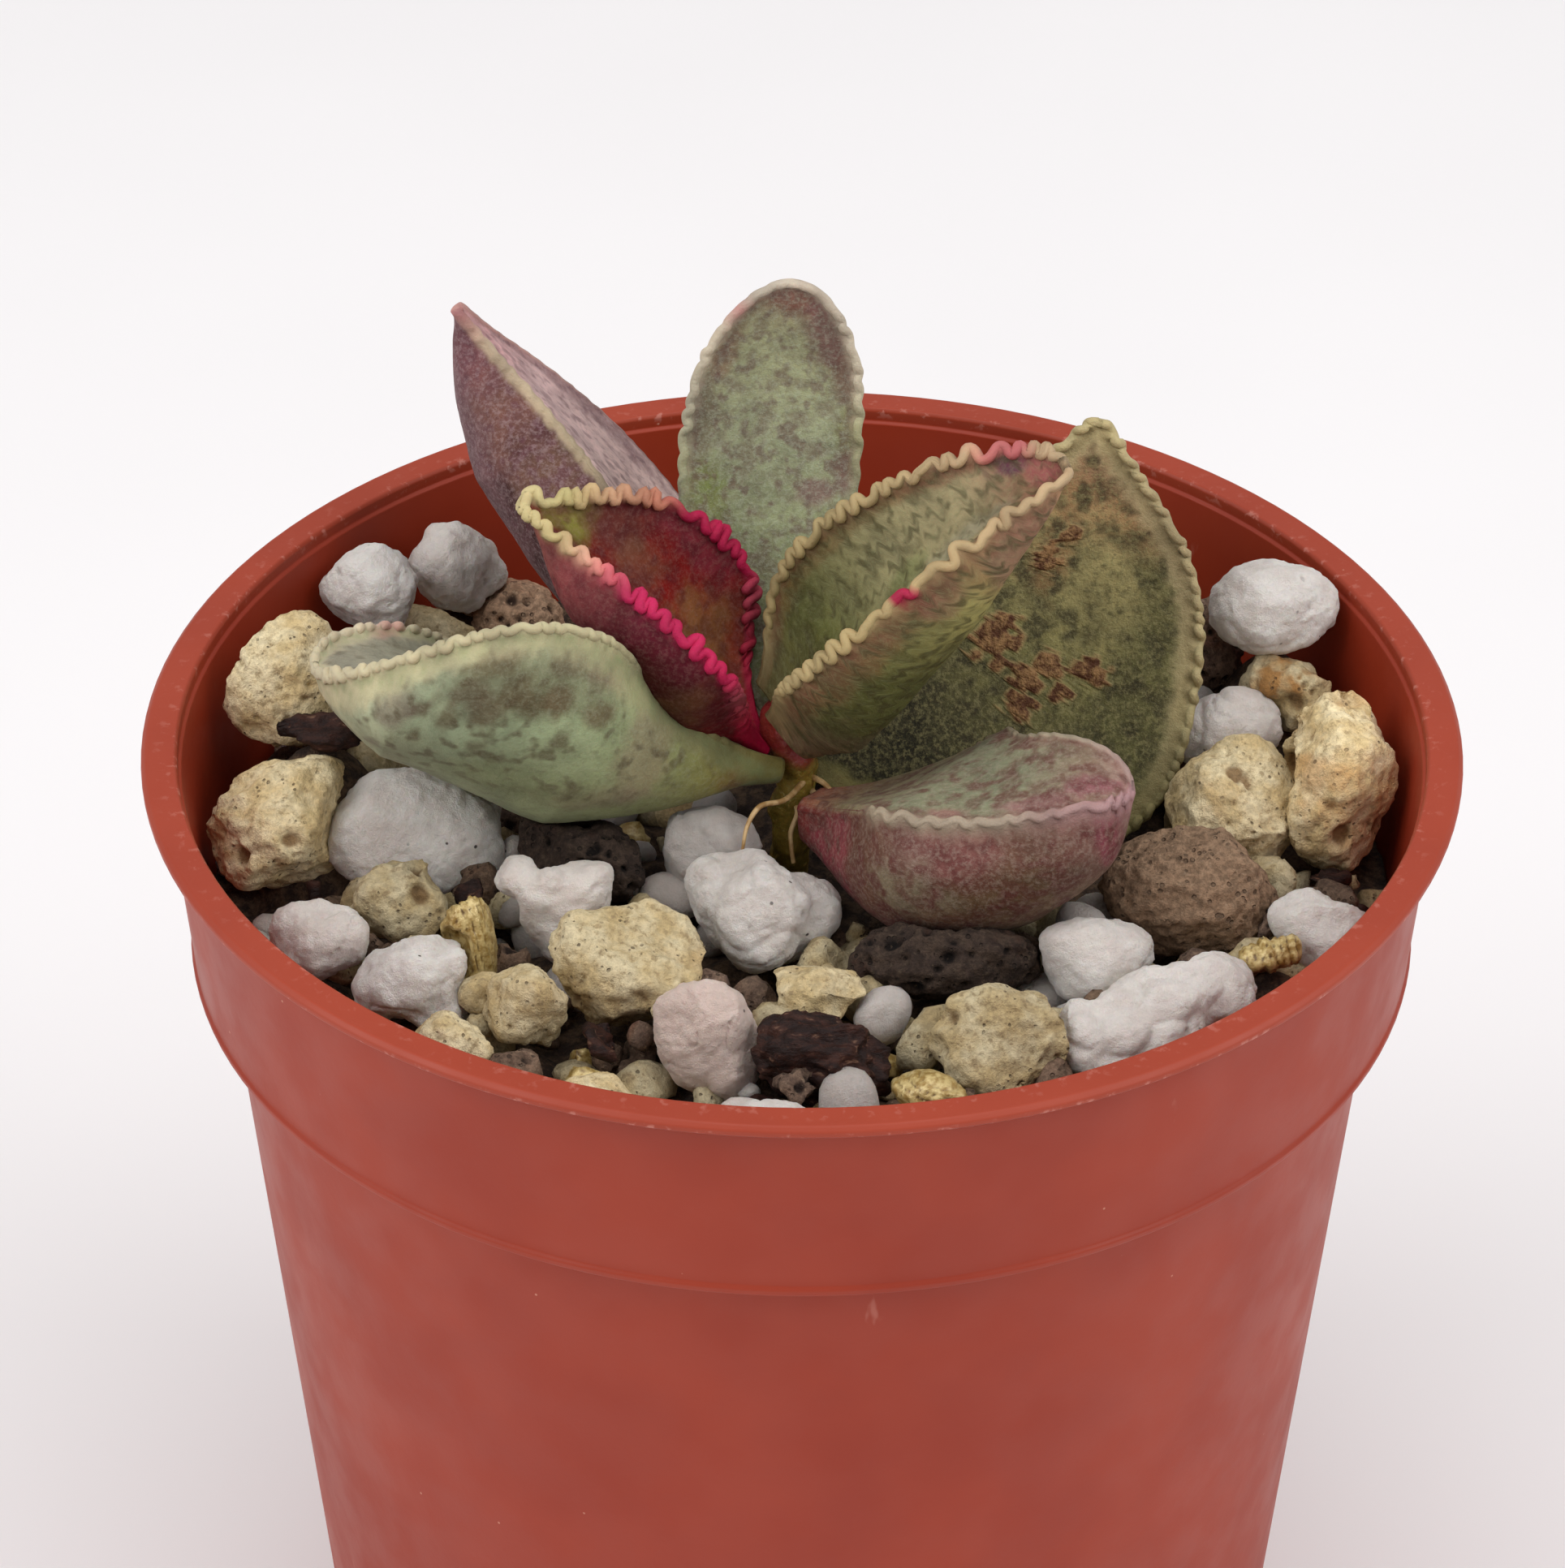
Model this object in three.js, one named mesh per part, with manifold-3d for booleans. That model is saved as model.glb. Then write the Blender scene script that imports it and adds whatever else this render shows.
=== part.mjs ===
// A small Adromischus marianiae hybrid in a round plastic nursery pot filled with coarse grit.
// Millimetres, +Z up. The origin is the middle of the pot's underside, and +X is to the right and
// +Y to the back as the plant is usually looked at.
import * as THREE from "three";
import { mergeVertices } from "three/addons/utils/BufferGeometryUtils.js";
import Module from "manifold-3d";

const wasm = await Module();
wasm.setup();

// Driving dimensions of the pot
const POT_HEIGHT = 50;
const LIP_RADIUS = 27.5;
const LIP_WIDTH = 1.5;
const LIP_THICKNESS = 0.6;
const COLLAR_DEPTH = 9.7; // from the rim down to the step
const COLLAR_TOP_RADIUS = 26.55;
const COLLAR_FOOT_RADIUS = 25.65;
const BODY_TOP_RADIUS = 24.35;
const FOOT_RADIUS = 20.3;
const WALL = 0.8;
const FLOOR_THICKNESS = 1;
const FOOT_RING_HEIGHT = 1;
const FOOT_RING_WIDTH = 3.3;
const DRAIN_RADIUS = 2;
const DRAIN_CIRCLE = 11;
const DRAIN_COUNT = 4;
const POT_SIDES = 48;

// Driving dimensions of the filling: heights are below the pot's rim
const GRIT_DEPTH = 8.1;
const GRIT_BUMP = 0.3;
const HEAP_SLOPE = 0.4; // how fast the grit falls away from under a high stone
const CRUMB_COUNT = 100;
const GAP = 0.3; // clearance between neighbouring pieces

// Number of cross-sections along a leaf, and points across each of its two faces
const LEAF_STATIONS = 34;
const LEAF_ACROSS = 5;
const LEAF_MARGIN = 0.6; // thickness of the leaf's edge

// Plant: places are measured from the middle of the rim, so z = 0 is the level of the rim.
// The stem's line, with its radius at each point
const STEM = [
  { at: [-0.4, 1.2, -10], radius: 0.8 },
  { at: [-0.4, 1.3, -7], radius: 0.8 },
  { at: [-0.3, 1.4, -5], radius: 0.95 },
  { at: [-0.1, 1.3, -3.6], radius: 0.85 },
  { at: [-0.4, 1.5, -2.2], radius: 1.15 },
  { at: [-0.6, 1.7, -0.8], radius: 1.1 },
  { at: [-0.6, 1.8, 0.3], radius: 0.6 },
];
// Dry rootlets that spring from the stem and come down to the stones
const ROOTLET_RADIUS = 0.3;
const ROOTLETS = [
  [[-0.2, 1.2, -3.9], [-0.8, -0.3, -3.6], [-1.9, -0.8, -3.8], [-2.4, -1.6, -4.9]],
  [[0.2, 1.2, -3], [1.2, 0.2, -3.2], [1.6, -0.2, -4.2]],
];

// Leaves, from the front to the back. line: the four control points of the curve from the stem to
// the tip. face: the way the upper side looks. turn: how far, in degrees, the blade is turned about
// its line at the base and at the tip. halfWidth: half of the blade's width, laid flat, at six even
// steps from base to tip. cup: half angle, in degrees, that the blade curls up through, at base and
// tip. thick: the middle. fill: how much of the trough between the margins is filled with flesh.
// waves and waveHeight: the crinkles along each margin.
const LEAVES = {
  leaf_right_front: {
    line: [[0.4, -0.3, -3.4], [7.9, -4.6, -2.9], [7.7, -6.2, 0.8], [13.6, -6, 1.4]],
    face: [0.05, -0.25, 1],
    turn: [-25, -7],
    halfWidth: [0.8, 3.3, 5, 3.7, 3, 2.8],
    cup: [60, 61],
    thick: 4.6,
    fill: 0.9,
    waves: 9,
    waveHeight: 0.12,
    color: 0x7d7470,
  },
  leaf_centre_right: {
    line: [[-0.9, 0.8, 0], [2.8, 1.7, 2.9], [5, 0.3, 10.4], [10.9, 1.8, 12.1]],
    face: [-0.5, -0.3, 0.8],
    turn: [-21, 4],
    halfWidth: [2, 4.8, 5, 3.8, 2.5, 1.6],
    cup: [89, 59],
    thick: 3,
    fill: 0.1,
    waves: 10,
    waveHeight: 0.22,
    color: 0x74805e,
  },
  leaf_left_front: {
    line: [[-1, 0.6, -2.2], [-10.2, -3.5, -0.2], [-15.5, 0.3, 3.1], [-20.3, -0.5, 3.6]],
    face: [0.1, 0.5, 0.85],
    turn: [51, -19],
    halfWidth: [0.2, 2.9, 6.9, 8, 5.5, 3.3],
    cup: [55, 32],
    thick: 3.2,
    fill: 0.25,
    waves: 9,
    waveHeight: 0.1,
    color: 0x87977f,
  },
  leaf_centre_left: {
    line: [[-1.5, 1.4, -1.7], [-4.9, 1.6, 1.1], [-5.4, 2.5, 4.8], [-11.6, 2.8, 9.6]],
    face: [0.6, -0.45, 0.65],
    turn: [35, 13],
    halfWidth: [0.4, 2.4, 5.1, 5.2, 3.7, 0.9],
    cup: [73, 75],
    thick: 2.3,
    fill: 0.1,
    waves: 11,
    waveHeight: 0.25,
    color: 0x8c3a4a,
  },
  leaf_right_back: {
    line: [[0.6, 1.9, -2], [8.7, 5.7, -4.1], [11.6, 8.8, 1], [12.5, 11, 8.5]],
    face: [-0.5, -0.65, 0.6],
    turn: [28, 33],
    halfWidth: [1.4, 6, 8.7, 7.3, 4.9, 1.4],
    cup: [10, 20],
    thick: 2.8,
    fill: 0,
    waves: 11,
    waveHeight: 0.15,
    color: 0x5e5c3e,
  },
  leaf_centre_back: {
    line: [[-0.6, 2.9, -1], [-2.1, 8.8, 3.5], [-1.6, 11.4, 9.2], [-0.4, 11, 15.1]],
    face: [0, -1, 0.35],
    turn: [4, 15],
    halfWidth: [1, 2.5, 3.5, 3.7, 3.4, 3],
    cup: [17, 28],
    thick: 2.8,
    fill: 0,
    waves: 11,
    waveHeight: 0.1,
    color: 0x7f9074,
  },
  leaf_back_left: {
    line: [[-1.5, 3, -2.1], [-7.5, 11.3, -0.1], [-11.5, 15, 4.1], [-14.6, 14.9, 11.6]],
    face: [0.75, -0.35, 0.6],
    turn: [13, 31],
    halfWidth: [1.1, 3.5, 5, 4.6, 2.8, 0.9],
    cup: [64, 77],
    thick: 3,
    fill: 0.85,
    waves: 11,
    waveHeight: 0.06,
    color: 0x82646a,
  },
};

// Stones. at: the middle, from the middle of the rim. size: half of its extent along x, y and z
// before it is tilted. lobes: more lumps of the same stone, each an offset from the middle and a size.
const STONES = {
  perlite: {
    color: 0xe9e9e6,
    rough: 0.16,
    facets: 0,
    stones: [
      { at: [-18.7, 13.6, -1.6], size: [2.4, 1.8, 1.8] },
      { at: [-15.4, 17, -2.6], size: [2, 1.9, 1.9], lobes: [[[1, 0.3, -0.9], [1.5, 1.3, 1.2]]] },
      { at: [-16, -0.4, -5], size: [3.7, 2.6, 2.5] },
      { at: [-19.8, -8.4, -5], size: [2.1, 1.9, 1.8] },
      { at: [-16, -10.7, -5], size: [2.4, 2, 2], lobes: [[[1.2, -0.6, -0.8], [1.5, 1.4, 1.3]]] },
      {
        at: [-10.3, -6.4, -4.8],
        size: [1.4, 1.5, 2.3],
        lobes: [[[-1.4, 0.6, 1.2], [1, 1.1, 1]], [[1.3, 0.5, 0.8], [1.4, 1.2, 1.1]]],
      },
      { at: [-3.8, -1.8, -5], size: [2.1, 2, 2.3] },
      {
        at: [-1.9, -6.5, -4.8],
        size: [2.7, 2.5, 2.6],
        lobes: [[[1.6, 0.8, -0.3], [2, 2, 2]], [[-1.6, 0.9, 0.3], [1.4, 1.5, 1.6]]],
      },
      { at: [-3.9, -14.2, -5], size: [2.1, 2, 2.8], lobes: [[[0.9, -0.8, -1], [1.5, 1.4, 1.9]]] },
      { at: [12.1, -9.4, -5], size: [2.4, 2, 1.9] },
      {
        at: [14.3, -13.4, -5.2],
        size: [3, 2.2, 2],
        lobes: [[[-2.2, -1.1, -0.3], [2.2, 1.7, 1.7]], [[2, 1.1, 0.5], [2.4, 1.9, 1.8]]],
      },
      { at: [18.1, 6.4, -4.2], size: [2.5, 1.8, 1.8] },
      { at: [20.2, 10.6, -0.6], size: [2.8, 2.3, 2.1] },
      { at: [21.4, -7.1, -5], size: [2, 1.7, 1.6] },
      { at: [3.8, 20.6, -4.6], size: [2.4, 2.1, 2] },
      { at: [-5.5, 13, -5], size: [2.3, 2.1, 2] },
      { at: [-1.2, -21, -5.6], size: [2.1, 1.8, 1.7] },
    ],
  },
  pumice: {
    color: 0xc2ad7c,
    rough: 0.1,
    facets: 9,
    stones: [
      { at: [-21.5, 5.6, -1.6], size: [3.2, 2.7, 2.9] },
      { at: [-21.9, -0.3, -4.8], size: [3.8, 3, 3] },
      { at: [-18, 4.3, -5.2], size: [2.4, 1.9, 1.7] },
      { at: [-16.6, -5.4, -5], size: [2.2, 2, 1.9] },
      { at: [-7.1, -10.2, -4.9], size: [3.3, 2.9, 2.8] },
      { at: [-11.2, -13, -5], size: [1.7, 1.7, 2.2] },
      { at: [-14.1, -15.2, -5.2], size: [2, 1.7, 1.6] },
      { at: [0.8, -11.6, -5.1], size: [2, 1.5, 1.4] },
      { at: [8.1, -14.6, -5], size: [3.1, 2.3, 2.3] },
      { at: [18.2, 1.4, -4.9], size: [3, 3, 3] },
      {
        at: [22.8, 2, -4.4],
        size: [2.7, 3.4, 3.2],
        lobes: [[[-0.5, 0.5, 2.4], [2, 1.9, 2]]],
      },
      { at: [20.7, 8.4, -3.4], size: [2, 1.7, 1.6] },
      { at: [10.6, 18.2, -5], size: [3, 2.4, 2.3] },
      { at: [-8.6, 8.2, -5.4], size: [2.6, 2.2, 1.9] },
      { at: [13.6, 9.6, -6], size: [2.6, 2.3, 1.8] },
      { at: [-16.6, 14.6, -5.2], size: [2.4, 1.6, 1.6] },
      { at: [-8.6, -19.2, -5.8], size: [2.4, 1.9, 1.7] },
    ],
  },
  lava: {
    color: 0x3f3430,
    rough: 0.16,
    facets: 7,
    stones: [
      { at: [-9.2, -2, -5], size: [3.1, 2.1, 2] },
      { at: [5.9, -9, -5.2], size: [4.1, 2.1, 1.9] },
      { at: [16.1, -4.8, -4.9], size: [3.9, 3, 2.9] },
      { at: [17.6, 12.2, -4], size: [1.7, 1.8, 2.6] },
      { at: [-13.2, 17.2, -5.6], size: [2.8, 1.9, 1.7] },
      { at: [-1.6, 18.2, -5.4], size: [2.6, 2, 1.8] },
      { at: [5.6, 6, -6.2], size: [2.3, 2, 1.5] },
      { at: [12.2, -18.8, -5.9], size: [2.5, 1.8, 1.6] },
    ],
  },
  bark: {
    color: 0x33221a,
    rough: 0.12,
    facets: 5,
    stones: [
      { at: [1, -15.6, -5.2], size: [2.8, 2.2, 2.1] },
      { at: [-20.4, 2.3, -1.4], size: [2.2, 0.8, 0.7] },
      { at: [5, 15.4, -6], size: [2.6, 1.4, 1.2] },
    ],
  },
  vermiculite: {
    color: 0x9a7a3c,
    rough: 0.04,
    facets: 4,
    stones: [
      { at: [-13.7, -9, -4.8], size: [1.2, 1.6, 2.7] },
      { at: [5.2, -17.8, -5.6], size: [1.8, 1.1, 1.1] },
      { at: [19.2, -9.7, -4.4], size: [1.5, 0.9, 0.8] },
    ],
  },
};

// A repeatable random draw from 0 to 1
function randomFrom(seed) {
  let state = seed >>> 0;
  return () => {
    state = (Math.imul(state, 1664525) + 1013904223) >>> 0;
    return state / 4294967296;
  };
}

// Solids: a closed three.js geometry becomes a solid that can be cut and joined, and back
function solidOf(geometry) {
  const bare = geometry.index ? geometry.clone() : geometry;
  bare.deleteAttribute("normal");
  bare.deleteAttribute("uv");
  const merged = mergeVertices(bare, 1e-4);
  return new wasm.Manifold(
    new wasm.Mesh({
      numProp: 3,
      vertProperties: merged.attributes.position.array,
      triVerts: new Uint32Array(merged.index.array),
    }),
  );
}

function geometryOf(solid) {
  const mesh = solid.getMesh();
  const geometry = new THREE.BufferGeometry();
  geometry.setAttribute("position", new THREE.BufferAttribute(mesh.vertProperties, 3));
  geometry.setIndex(new THREE.BufferAttribute(mesh.triVerts, 1));
  return geometry;
}

function largestBody(solid) {
  return solid.decompose().reduce((big, body) => (body.volume() > big.volume() ? body : big));
}

// A closed skin through rings that all have the same number of points, with fans on both ends
function loft(rings) {
  const count = rings[0].length;
  const points = rings.flat();
  const index = [];
  for (let i = 0; i + 1 < rings.length; i++) {
    for (let j = 0; j < count; j++) {
      const next = (j + 1) % count;
      const [a, b] = [i * count + j, i * count + next];
      const [c, d] = [a + count, b + count];
      index.push(a, b, d, a, d, c);
    }
  }
  for (const [ring, start, flip] of [
    [rings[0], 0, true],
    [rings.at(-1), (rings.length - 1) * count, false],
  ]) {
    const middle = new THREE.Vector3();
    ring.forEach((p) => middle.addScaledVector(p, 1 / count));
    const hub = points.push(middle) - 1;
    for (let j = 0; j < count; j++) {
      const [a, b] = [start + j, start + ((j + 1) % count)];
      index.push(...(flip ? [hub, b, a] : [hub, a, b]));
    }
  }
  const geometry = new THREE.BufferGeometry().setFromPoints(points);
  geometry.setIndex(index);
  return geometry;
}

// The value at t of a smooth curve through evenly spaced values
function along(values, t) {
  const last = values.length - 1;
  const i = Math.min(Math.floor(t * last), last - 1);
  const f = t * last - i;
  const at = (k) => values[Math.min(Math.max(k, 0), last)];
  const [a, b, c, d] = [at(i - 1), at(i), at(i + 1), at(i + 2)];
  return b + 0.5 * f * (c - a + f * (2 * a - 5 * b + 4 * c - d + f * (3 * (b - c) + d - a)));
}

const blend = ([from, to], t) => from + (to - from) * t;
const vector = (xyz) => new THREE.Vector3(...xyz);
const fromRim = ([x, y, z]) => new THREE.Vector3(x, y, z + POT_HEIGHT);

// Leaf: sections set square to its line, each a crescent with thick waved margins.
// grow pushes the whole skin outwards, for cutting clear space in a neighbour.
const TIP_START = 0.72;
function leafSolid(leaf, grow = 0) {
  const line = new THREE.CubicBezierCurve3(...leaf.line.map(fromRim));
  const face = vector(leaf.face);
  const widest = Math.max(...leaf.halfWidth);
  const rings = [];
  for (let i = 0; i <= LEAF_STATIONS; i++) {
    const t = 1 - (1 - i / LEAF_STATIONS) ** 1.25;
    const middle = line.getPoint(t);
    const tangent = line.getTangent(t);
    const turn = THREE.MathUtils.degToRad(blend(leaf.turn, t));
    const up = face.clone().addScaledVector(tangent, -face.dot(tangent)).normalize();
    const across = tangent.clone().cross(up).applyAxisAngle(tangent, turn);
    up.applyAxisAngle(tangent, turn);
    const beyond = Math.max(0, (t - TIP_START) / (1 - TIP_START));
    const half = Math.max(along(leaf.halfWidth, t), 0.2) * Math.sqrt(1 - beyond ** 2) + 0.15;
    const cup = THREE.MathUtils.degToRad(blend(leaf.cup, t));
    const bend = half / cup; // radius of the crescent
    const fleshy = leaf.thick * Math.min(1, half / (0.8 * widest)) ** 0.7;
    const thick = Math.max(fleshy, LEAF_MARGIN);
    const fade = Math.min(1, 4 * t, 6 * (1 - t));
    const place = (u, depth, fill = 0) => {
      const lift = fill * bend * (Math.cos(cup * u) - Math.cos(cup));
      const wave = 2 * Math.PI * leaf.waves * t + (u < 0 ? 1.7 : 0);
      const crinkle = leaf.waveHeight * fade * u ** 6;
      const out = (bend - grow + depth + crinkle * Math.cos(wave) * 0.4) * Math.sin(cup * u);
      const rise = bend - (bend - grow + depth) * Math.cos(cup * u);
      return middle
        .clone()
        .addScaledVector(across, out + Math.sign(u) * (crinkle * Math.sin(wave) + grow * u * u))
        .addScaledVector(up, rise + lift + crinkle * Math.cos(wave));
    };
    const ring = [];
    for (let j = 0; j < LEAF_ACROSS; j++) {
      ring.push(place(-1 + (2 * j) / (LEAF_ACROSS - 1), 0, leaf.fill));
    }
    for (let j = LEAF_ACROSS - 1; j >= 0; j--) {
      const u = -1 + (2 * j) / (LEAF_ACROSS - 1);
      const depth = LEAF_MARGIN + (thick - LEAF_MARGIN) * (1 - Math.abs(u) ** 2.4);
      ring.push(place(u, depth + 2 * grow));
    }
    rings.push(ring);
  }
  if (grow) {
    const back = line.getTangent(0).multiplyScalar(-grow);
    rings[0].forEach((p) => p.add(back));
    const on = line.getTangent(1).multiplyScalar(grow);
    rings.at(-1).forEach((p) => p.add(on));
  }
  return solidOf(loft(rings));
}

// Round rod of changing radius through points, used for the stem and the rootlets
function rodSolid(points, radii, sides, steps) {
  const line = new THREE.CatmullRomCurve3(points);
  const frames = line.computeFrenetFrames(steps);
  const rings = [];
  for (let i = 0; i <= steps; i++) {
    const middle = line.getPoint(i / steps);
    const radius = along(radii, i / steps);
    rings.push(
      Array.from({ length: sides }, (_, j) => {
        const angle = (2 * Math.PI * j) / sides;
        return middle
          .clone()
          .addScaledVector(frames.normals[i], radius * Math.cos(angle))
          .addScaledVector(frames.binormals[i], radius * Math.sin(angle));
      }),
    );
  }
  return solidOf(loft(rings));
}

function stemSolid(grow = 0) {
  const points = STEM.map((s) => fromRim(s.at));
  const radii = STEM.map((s) => s.radius + grow);
  const stem = rodSolid(points, radii, 8, 14);
  return ROOTLETS.reduce((plant, rootlet) => {
    const wispy = rootlet.map(() => ROOTLET_RADIUS + grow);
    return plant.add(rodSolid(rootlet.map(fromRim), wispy, 5, 7));
  }, stem);
}

// Stone lump: a ball pushed in and out by a few smooth waves, flattened by chance planes, then
// stretched until it fills its size
function lumpSolid(size, rough, facets, seed, grow) {
  const random = randomFrom(seed);
  const spread = () => 2 * random() - 1;
  const waves = Array.from({ length: 4 }, () => ({
    way: new THREE.Vector3(spread(), spread(), spread()).multiplyScalar(4),
    phase: 6.28 * random(),
  }));
  const planes = Array.from({ length: facets }, () => ({
    way: new THREE.Vector3(spread(), spread(), spread()).normalize(),
    reach: 0.74 + 0.16 * random(),
  }));
  const ball = new THREE.IcosahedronGeometry(1, 1);
  const position = ball.attributes.position;
  const way = new THREE.Vector3();
  for (let i = 0; i < position.count; i++) {
    way.fromBufferAttribute(position, i).normalize();
    let reach = 1;
    for (const wave of waves) reach += (rough / 2) * Math.cos(way.dot(wave.way) + wave.phase);
    for (const plane of planes) {
      const slope = way.dot(plane.way);
      if (slope > 0.1) reach = Math.min(reach, plane.reach / slope);
    }
    way.multiplyScalar(reach);
    position.setXYZ(i, way.x, way.y, way.z);
  }
  ball.center().computeBoundingBox();
  const fit = vector(size).divide(ball.boundingBox.max);
  for (let i = 0; i < position.count; i++) {
    way.fromBufferAttribute(position, i).multiply(fit);
    way.setLength(way.length() + grow);
    position.setXYZ(i, way.x, way.y, way.z);
  }
  return solidOf(ball.rotateZ(0.5 * spread()).rotateX(0.2 * spread()));
}

function stoneSolid(kind, stone, seed, grow = 0) {
  const { rough, facets } = STONES[kind];
  const lobes = [[[0, 0, 0], stone.size], ...(stone.lobes ?? [])];
  return lobes
    .map(([offset, size], i) =>
      lumpSolid(size, rough, facets, seed + 17 * i, grow).translate(...offset),
    )
    .reduce((whole, lump) => whole.add(lump))
    .translate(...fromRim(stone.at).toArray());
}

// Pot: one turned profile, from the middle of the underside out, up, over the lip and back down
function turned(profile) {
  const points = profile.map(([radius, height]) => new THREE.Vector2(radius, height));
  return solidOf(new THREE.LatheGeometry(points, POT_SIDES).rotateX(Math.PI / 2));
}

const STEP_HEIGHT = POT_HEIGHT - COLLAR_DEPTH;
const LIP_UNDERSIDE = POT_HEIGHT - LIP_THICKNESS;
const FLOOR_TOP = FOOT_RING_HEIGHT + FLOOR_THICKNESS;
const LIP_ROUNDING = 0.2;
const LIP_STEP = 0.25; // the wall stands this far back under the lip's inner edge

function potSolid() {
  const inner = LIP_RADIUS - LIP_WIDTH;
  let pot = turned([
    [0, FOOT_RING_HEIGHT],
    [FOOT_RADIUS - FOOT_RING_WIDTH, FOOT_RING_HEIGHT],
    [FOOT_RADIUS - FOOT_RING_WIDTH, 0],
    [FOOT_RADIUS - 0.4, 0],
    [FOOT_RADIUS, 0.4],
    [BODY_TOP_RADIUS, STEP_HEIGHT - 0.7],
    [BODY_TOP_RADIUS + 0.5, STEP_HEIGHT - 0.2],
    [COLLAR_FOOT_RADIUS - 0.3, STEP_HEIGHT],
    [COLLAR_FOOT_RADIUS, STEP_HEIGHT + 0.4],
    [COLLAR_TOP_RADIUS, LIP_UNDERSIDE],
    [LIP_RADIUS - LIP_ROUNDING, LIP_UNDERSIDE],
    [LIP_RADIUS, LIP_UNDERSIDE + LIP_ROUNDING],
    [LIP_RADIUS, POT_HEIGHT - LIP_ROUNDING],
    [LIP_RADIUS - LIP_ROUNDING, POT_HEIGHT],
    [inner + LIP_ROUNDING, POT_HEIGHT],
    [inner, POT_HEIGHT - LIP_ROUNDING],
    [inner, LIP_UNDERSIDE - 0.2],
    [inner - LIP_STEP, LIP_UNDERSIDE - 0.4],
    [COLLAR_FOOT_RADIUS - WALL, STEP_HEIGHT + 0.4],
    [BODY_TOP_RADIUS - WALL, STEP_HEIGHT - 1],
    [FOOT_RADIUS - WALL, FLOOR_TOP],
    [0, FLOOR_TOP],
  ]);
  for (let i = 0; i <= DRAIN_COUNT; i++) {
    const angle = (2 * Math.PI * (i + 0.5)) / DRAIN_COUNT;
    const reach = i < DRAIN_COUNT ? DRAIN_CIRCLE : 0;
    const hole = new THREE.CylinderGeometry(DRAIN_RADIUS, DRAIN_RADIUS, 4 * FLOOR_THICKNESS, 12);
    hole.rotateX(Math.PI / 2);
    hole.translate(reach * Math.cos(angle), reach * Math.sin(angle), FLOOR_TOP);
    pot = pot.subtract(solidOf(hole));
  }
  return pot;
}

// The space inside the pot, a gap clear of its wall, with everything above the rim open
function insideSolid() {
  const wall = WALL + GAP;
  return turned([
    [0, FLOOR_TOP + GAP],
    [FOOT_RADIUS - wall, FLOOR_TOP + GAP],
    [BODY_TOP_RADIUS - wall, STEP_HEIGHT - 1],
    [COLLAR_FOOT_RADIUS - wall, STEP_HEIGHT + 0.4],
    [LIP_RADIUS - LIP_WIDTH - LIP_STEP - GAP, LIP_UNDERSIDE - 0.4],
    [LIP_RADIUS - LIP_WIDTH - LIP_STEP - GAP, 2 * POT_HEIGHT],
    [0, 2 * POT_HEIGHT],
  ]);
}

// Grit body: a heap whose uneven top rises under each stone that lies higher than the rest
const allStones = Object.entries(STONES).flatMap(([kind, { stones }]) =>
  stones.map((stone, i) => ({ kind, stone, name: `${kind}_${i + 1}` })),
);

function gritLevel(x, y) {
  const ripple = Math.sin(1.9 * x + 0.7 * y) + Math.sin(2.3 * y - 0.9 * x) + Math.sin(1.3 * x - 2.1 * y);
  let level = -GRIT_DEPTH + (GRIT_BUMP * ripple) / 3;
  for (const { stone } of allStones) {
    const [sx, sy, sz] = stone.at;
    const away = Math.hypot(x - sx, y - sy);
    level = Math.max(level, sz - stone.size[2] - GAP - HEAP_SLOPE * away ** 2);
  }
  return level;
}

const GRIT_RINGS = 10;
const GRIT_SPOKES = 36;
const CRUMB_REACH = 24;
const GOLDEN_ANGLE = 2.4;
function gritSolid() {
  const reach = COLLAR_FOOT_RADIUS;
  const ringAt = (radius, height) =>
    Array.from({ length: GRIT_SPOKES }, (_, j) => {
      const angle = (2 * Math.PI * j) / GRIT_SPOKES;
      const [x, y] = [radius * Math.cos(angle), radius * Math.sin(angle)];
      return fromRim([x, y, height ?? gritLevel(x, y)]);
    });
  const rings = [ringAt(1, -POT_HEIGHT), ringAt(reach, -POT_HEIGHT)];
  for (let i = GRIT_RINGS; i > 0; i--) rings.push(ringAt((reach * i) / GRIT_RINGS));
  rings.push(ringAt(0.8));
  return crumbs().reduce((heap, crumb) => heap.add(crumb), solidOf(loft(rings)));
}

// Small stones sunk in the top of the grit, on a sunflower spiral so that they spread evenly,
// wherever the larger stones leave room
function crumbs() {
  const random = randomFrom(41);
  const grains = [];
  for (let i = 0; i < CRUMB_COUNT; i++) {
    const radius = CRUMB_REACH * Math.sqrt((i + 0.5) / CRUMB_COUNT);
    const angle = GOLDEN_ANGLE * i + 0.3 * random();
    const [x, y] = [radius * Math.cos(angle), radius * Math.sin(angle)];
    const size = 1.3 + 0.8 * random();
    const turn = 3 * random();
    const level = gritLevel(x, y) + 0.4 * size;
    const crowded = allStones.some(({ stone }) => {
      const [sx, sy] = stone.at;
      const [a, b] = stone.size;
      return Math.hypot((x - sx) / (a + 0.8 * size), (y - sy) / (b + 0.8 * size)) < 1;
    });
    if (crowded) continue;
    const grain = new THREE.OctahedronGeometry(size).rotateX(turn).rotateZ(2 * turn);
    grains.push(solidOf(grain.translate(...fromRim([x, y, level]).toArray())));
  }
  return grains;
}

// Assembly: each piece is cut clear of those already in place, by the gap
const plant = new THREE.Group();
const placed = []; // the grown solid of every piece so far
const touches = (a, b) => {
  const [p, q] = [a.boundingBox(), b.boundingBox()];
  return [0, 1, 2].every((k) => p.min[k] < q.max[k] && q.min[k] < p.max[k]);
};

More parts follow.
